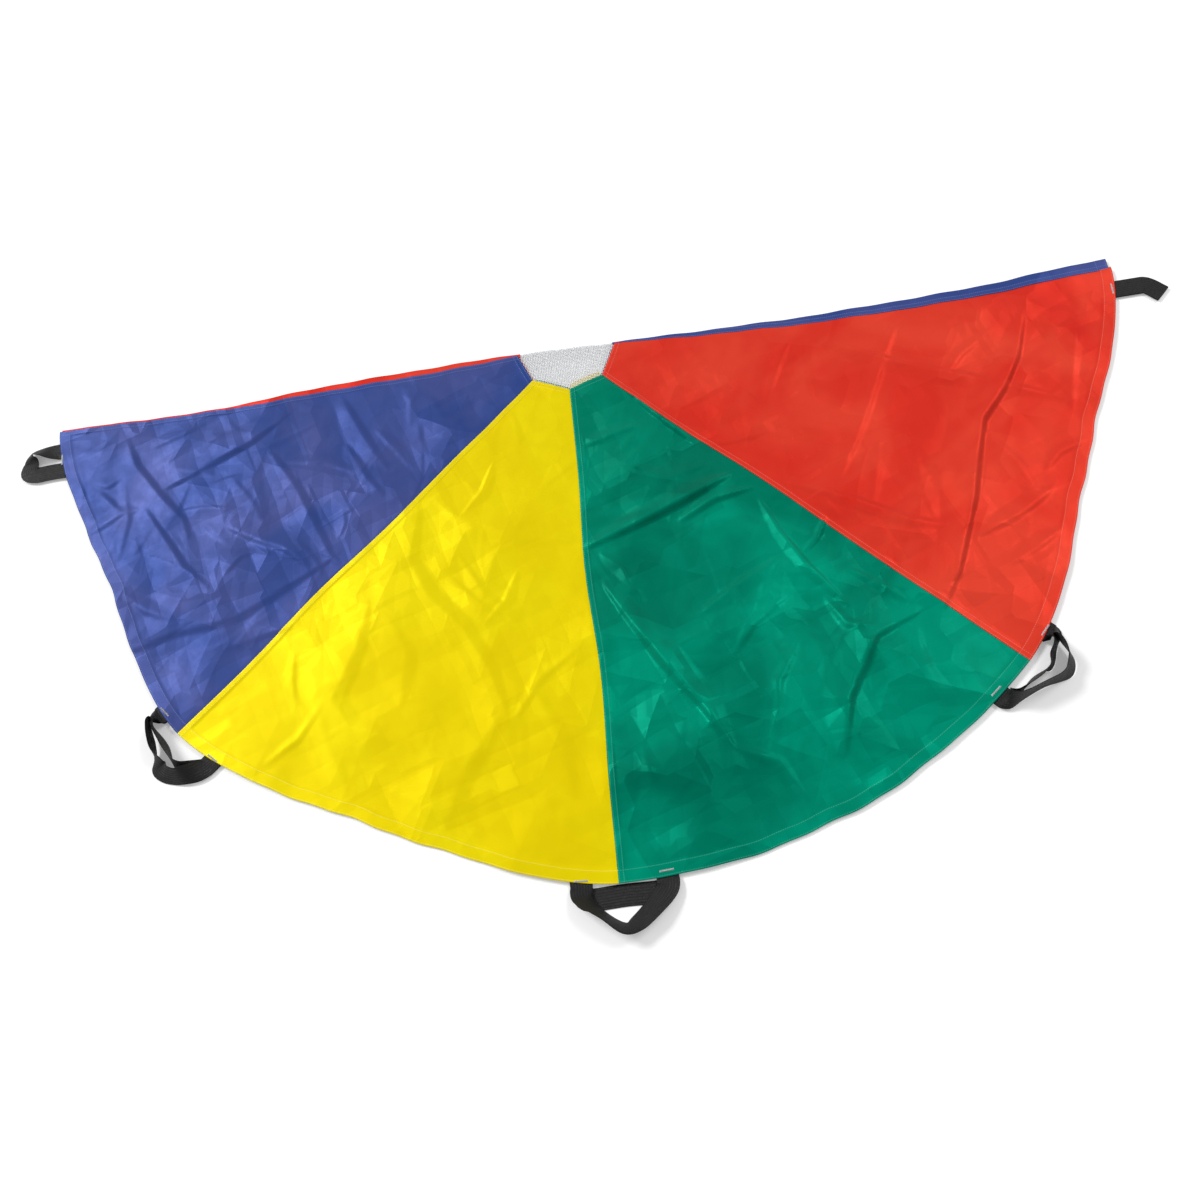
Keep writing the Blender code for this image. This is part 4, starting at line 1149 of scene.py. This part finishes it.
def sewn_route(stations, half, start, reach, spacing, root, gap, count):
    """A whole strap in plan: a sewn end, the loop through its stations, and a sewn end.

    A station is a share of half the spacing along the hem, a share of the reach outwards
    and a lean in degrees. The sewn ends lie behind the root, and stop a gap short of it."""
    loop = smooth_route([(a * half, start + o * (reach - start), math.radians(lean))
                         for a, o, lean in stations], spacing)
    inside = np.linspace(-sewn_length, -gap, count)
    first = np.stack([np.full(count, -half), root + inside, np.zeros(count)], axis=1)
    return np.concatenate([first, loop, first[::-1] * np.array([-1.0, 1.0, 1.0])])


def sweep_strap(name, centres, widths, normals):
    """A strap: its section, a rounded bar, carried along centres on widths and normals."""
    count, ring = len(centres), len(section_angle)
    offset = (widths[:, None] * (section_across[:, None] * strap_width / 2)
              + normals[:, None] * (section_up[:, None] * strap_thickness / 2))
    points = (centres[:, None] + offset).reshape(-1, 3)
    index, sides = tube_sides(count, ring)
    half = ring // 2
    caps = []
    for row in (index[0], index[-1]):
        turned = np.roll(row, ring // 4)
        back = turned[::-1]
        caps.append(np.stack([turned[:half - 1], turned[1:half], back[1:half], back[:half - 1]],
                             axis=-1))
    faces = np.concatenate([sides] + caps)
    travelled = way_along(centres)
    lengths = np.stack(np.broadcast_arrays(travelled[:, None], section_across * strap_width / 2,
                                           0.0), axis=-1).reshape(-1, 3)
    strap = make_object(name, points, faces, webbing, {"strap_lengths": lengths})
    print(name, "is", round(travelled[-1] * 1000), "mm of webbing")
    return strap


def leaning(across, lean):
    """A strap's width directions and normals, from the level direction across it and how
    far its width is tipped down on that side."""
    cosine, sine = np.cos(lean)[:, None], np.sin(lean)[:, None]
    return across * cosine - up_vector * sine, across * sine + up_vector * cosine


print("webbing section of", len(section_angle), "points")

# %% [markdown]
# ### The three pairs at the front
#
# Stations are shares of half the spacing along the hem, shares of the reach outwards, and
# the lean in degrees. Each strap starts and ends flat between the two hems, 17 mm in.

# %% Front handles
handle_spacing = 0.122
lower_strap_z = 0.0023
upper_strap_z = 0.0042
floor_gap = 0.0003
# Where a loop starts past the hem
past_hem = 0.0003
front_handles = {
    "upper_left": (0, 0.050, (0.70, 1.00), (
        (-1.00, 0.00, 0), (-1.02, 0.09, -20), (-1.06, 0.19, -56), (-0.98, 0.34, -76),
        (-0.78, 0.50, -84), (-0.50, 0.68, -88), (-0.24, 0.86, -80), (-0.06, 1.00, -46),
        (0.10, 1.09, -26), (0.38, 1.07, -42), (0.70, 0.86, -50), (0.92, 0.48, -26),
        (1.00, 0.16, -4), (1.00, 0.00, 0))),
    "lower_left": (0, 0.036, (0.00, 0.60), (
        (-1.00, 0.00, 0), (-1.00, 0.18, -8), (-0.97, 0.34, -40), (-0.84, 0.46, -74),
        (-0.60, 0.55, -88), (-0.36, 0.62, -92), (-0.14, 0.71, -92), (0.10, 0.84, -84),
        (0.34, 0.94, -72), (0.62, 0.88, -56), (0.86, 0.58, -28), (0.98, 0.24, -2),
        (1.00, 0.00, 0))),
    "upper_front": (1, 0.062, (0.70, 1.00), (
        (-1.00, 0.00, 0), (-1.00, 0.18, 14), (-0.86, 0.40, 50), (-0.50, 0.72, 66),
        (-0.08, 1.00, 54), (0.24, 0.90, 34), (0.64, 0.60, 24), (0.97, 0.26, 10), (1.00, 0.00, 0))),
    "lower_front": (1, 0.0168, (0.00, 0.60), (
        (-1.00, 0.00, 0), (-1.00, 0.40, 0), (-0.92, 0.86, 0), (-0.70, 1.00, 0), (0.00, 0.94, 0),
        (0.70, 1.00, 0), (0.92, 0.86, 0), (1.00, 0.40, 0), (1.00, 0.00, 0))),
    "upper_right": (2, 0.055, (0.70, 1.00), (
        (-1.00, 0.00, 0), (-1.02, 0.12, -10), (-1.02, 0.26, -48), (-0.80, 0.43, -80),
        (-0.24, 0.67, -88), (0.16, 0.87, -80), (0.44, 0.92, -62), (0.68, 0.79, -62),
        (0.84, 0.54, -76), (0.95, 0.26, -78), (1.02, 0.10, -50), (1.00, 0.00, 0))),
    "lower_right": (2, 0.036, (0.00, 0.60), (
        (-1.00, 0.00, 0), (-1.00, 0.18, -6), (-0.96, 0.34, -40), (-0.82, 0.46, -76),
        (-0.56, 0.53, -92), (-0.22, 0.60, -106), (0.08, 0.70, -100), (0.26, 0.76, -78),
        (0.46, 0.62, -66), (0.70, 0.46, -72), (0.88, 0.30, -64), (0.98, 0.14, -24),
        (1.00, 0.00, 0))),
}


def hem_frame(pair):
    """Where a pair is centred on the hem, and the directions along the hem and outwards."""
    angle = math.pi + math.radians(handle_degrees[pair])
    outwards = np.array([math.cos(angle), math.sin(angle), 0.0])
    place = outwards * (corner_radius - handle_draw_ins[pair])
    return place, np.array([-outwards[1], outwards[0], 0.0]), outwards


def front_strap(name, pair, reach, drop_shares, stations):
    """A handle's strap: sewn end, loop and sewn end, leaving the hem squarely.

    The loop starts just past the hem, which is an arc, so that beside the corner it lies
    further in. The strap drops to the floor between the two shares of its reach."""
    place, along_direction, out_direction = hem_frame(pair)
    half = handle_spacing / 2
    start_out = past_hem - (corner_radius - math.sqrt(corner_radius ** 2 - half ** 2))
    count = 8
    route = sewn_route(stations, half, start_out, reach, 0.0022, start_out, 0.0015, count)
    tangent = unit(np.gradient(route[:, :2], axis=0))
    tangent[:count + 1] = (0.0, 1.0)
    tangent[-count - 1:] = (0.0, -1.0)
    bottom = upper_strap_z if name.startswith("upper") else lower_strap_z
    out_share = (route[:, 1] - start_out) / (reach - start_out)
    drop = smooth_step((out_share - drop_shares[0]) / (drop_shares[1] - drop_shares[0]))
    lean = route[:, 2]
    height = (bottom * (1 - drop) + floor_gap * drop + strap_thickness / 2
              + strap_width / 2 * np.abs(np.sin(lean)))
    across = tangent[:, 1:] * along_direction - tangent[:, :1] * out_direction
    centres = placed(place + route[:, :1] * along_direction + route[:, 1:2] * out_direction
                     + height[:, None] * up_vector)
    strap = sweep_strap("handle_strap_" + name, centres, *leaning(across, lean))
    hem_place = placed(place + start_out * out_direction
                       + up_vector * (bottom + strap_thickness / 2))
    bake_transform(strap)
    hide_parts("handle_" + name, "sewn_end_" + name + "_a", "sewn_end_" + name + "_b")


for name, facts in front_handles.items():
    front_strap(name, *facts)

# %% [markdown]
# ### The handles at the ends of the fold
#
# These two join both halves: one end is sewn to the lower hem and the other to the upper
# one, right above it. The left one lies as an open loop. The right one lies closed, and
# its tip hangs over to the front.

# %% Fold end handles
fold_end_forward = handle_spacing / 2
fold_end_x = math.sqrt(corner_radius ** 2 - fold_end_forward ** 2)
left_half_width = 0.0205
left_reach = 0.048
left_shares = (
    (-1.00, 0.00, 0), (-1.00, 0.28, -14), (-1.02, 0.60, -36), (-0.90, 0.90, -46),
    (-0.50, 1.02, -34), (-0.06, 1.02, -10), (0.44, 1.08, 0), (0.84, 1.05, 0),
    (1.06, 0.74, 0), (1.02, 0.36, 0), (1.00, 0.00, 0))
right_reach = 0.068
right_tip_forward = 0.030


def finish_fold_strap(name, centres, widths, normals, change, towards):
    """Sweep a fold end strap, bake it where it lies and hide the frame's parts for it."""
    strap = sweep_strap("handle_strap_fold_" + name, placed(centres), widths, normals)
    place = placed(change)
    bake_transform(strap)
    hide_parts("handle_fold_" + name, "sewn_end_fold_" + name)


def make_left_fold_strap():
    """The open loop: out from the lower hem, round on its edge, and back to the upper hem."""
    route = sewn_route(left_shares, left_half_width, past_hem, left_reach, 0.0018, 0.0, 0.0012, 9)
    travelled = way_along(route[:, :2])
    climb = smooth_step((travelled / travelled[-1] - 0.35) / 0.30)
    lean = route[:, 2]
    z = (lower_strap_z * (1 - climb) + upper_strap_z * climb + strap_thickness / 2
         + strap_width / 2 * np.abs(np.sin(lean)))
    centres = np.stack([-fold_end_x - route[:, 1], -fold_end_forward - route[:, 0], z], axis=1)
    step = unit(np.gradient(route[:, :2], axis=0))
    across = np.stack([step[:, 0], -step[:, 1], np.zeros(len(route))], axis=1)
    change = [-fold_end_x + sewn_length, -fold_end_forward + 0.002, 0.0]
    finish_fold_strap("left", centres, *leaning(across, lean), change, (0.21, -0.98, 0.0))


def make_right_fold_strap():
    """The closed one: out, round a tight bend and back on itself, its tip drawn forwards."""
    low, high = lower_strap_z + strap_thickness / 2, upper_strap_z + strap_thickness / 2
    middle, bend = (low + high) / 2, (high - low) / 2
    out = np.linspace(-sewn_length, right_reach - bend, 48)
    forward = fold_end_forward + right_tip_forward * smooth_step((out - 0.040) / 0.040)
    path = np.stack([fold_end_x + out, -forward, np.full(len(out), middle)], axis=1)
    step = unit(np.gradient(path, axis=0))
    across = np.stack([-step[:, 1], step[:, 0], np.zeros(len(out))], axis=1)
    up = np.broadcast_to(up_vector, path.shape)
    angles = np.linspace(-math.pi / 2, math.pi / 2, 10)[1:-1, None]
    around = np.cos(angles) * step[-1] + np.sin(angles) * up[-1]
    centres = np.concatenate([path - bend * up, path[-1] + bend * around,
                              (path + bend * up)[::-1]])
    spans = np.concatenate([across, np.broadcast_to(across[-1], around.shape), across[::-1]])
    turned = np.concatenate([-up, around, up[::-1]])
    finish_fold_strap("right", centres, spans, turned, [0.0, 0.0, middle], up_vector)


make_left_fold_strap()
make_right_fold_strap()

# %% [markdown]
# ### Bar tacks
#
# Every strap end is held by a dense zigzag of white thread through the hem. It is the only
# sewing that stands out at arm's length, so it is thread here, not paint.

# %% Bar tacks
def make_thread_material():
    """White sewing thread, a little worn."""
    material, tree, shader = new_material("white_thread")
    tone = noise(tree, object_place(tree), 900.0, 2.0).outputs[0]
    colour = mixed(tree, tone, (0.72, 0.74, 0.76, 1), (0.93, 0.94, 0.95, 1))
    set_inputs(tree, shader, {"Base Color": colour, "Roughness": 0.55})
    return material


white_thread = make_thread_material()
thread_radius = 0.00032
thread_lift = 0.00045
tack_half_length = 0.010
tack_half_width = 0.0015
tack_inset = 0.0080


def make_bar_tack(name, corner_reach, out):
    """A zigzag thread across the end of a strap, lying on the upper cloth's hem."""
    count, ring = 33, 6
    along = np.array([-out[1], out[0]])
    share = np.linspace(-1, 1, count)[:, None]
    swing = np.where(np.arange(count) % 2 == 0, 1.0, -1.0)[:, None]
    plan = (out * (corner_reach - tack_inset) + tack_half_length * share * along
            + tack_half_width * swing * out)
    top = upper_height(plan[:, 0], plan[:, 1]) + 2 * cloth_half + thread_lift
    path = np.stack([plan[:, 0], plan[:, 1], top], axis=1)
    turn = np.linspace(0, math.tau, ring, endpoint=False)[:, None]
    side = np.array([along[0], along[1], 0.0])
    offset = thread_radius * (np.cos(turn) * side + np.sin(turn) * up_vector)
    points = (path[:, None] + offset).reshape(-1, 3)
    index, sides = tube_sides(count, ring)
    caps = [row[[[0, 1, 2, 3], [0, 3, 4, 5]]] for row in (index[0], index[-1])]
    tack = make_object(name, placed(points), np.concatenate([sides] + caps), white_thread)
    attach(tack, "upper_half")


for pair, name in enumerate(("left", "front", "right")):
    place, along_direction, out_direction = hem_frame(pair)
    for side, letter in ((-1, "a"), (1, "b")):
        angle = side * handle_spacing / 2 / corner_radius
        out = out_direction[:2] * math.cos(angle) + along_direction[:2] * math.sin(angle)
        make_bar_tack("bar_tack_" + name + "_" + letter, np.hypot(*place[:2]), out)
for side, name in ((-1, "left"), (1, "right")):
    make_bar_tack("bar_tack_fold_" + name, corner_radius,
                  unit(np.array([side * fold_end_x, -fold_end_forward])))
print("8 bar tacks")

# %% [markdown]
# ## Each upper gore's own mesh
#
# The sheets have the size that they were cut to, and their heights come from the frame's
# numbers. Each upper gore is given a copy of its mesh of its own.

for piece in upper_gores:
    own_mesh(piece)
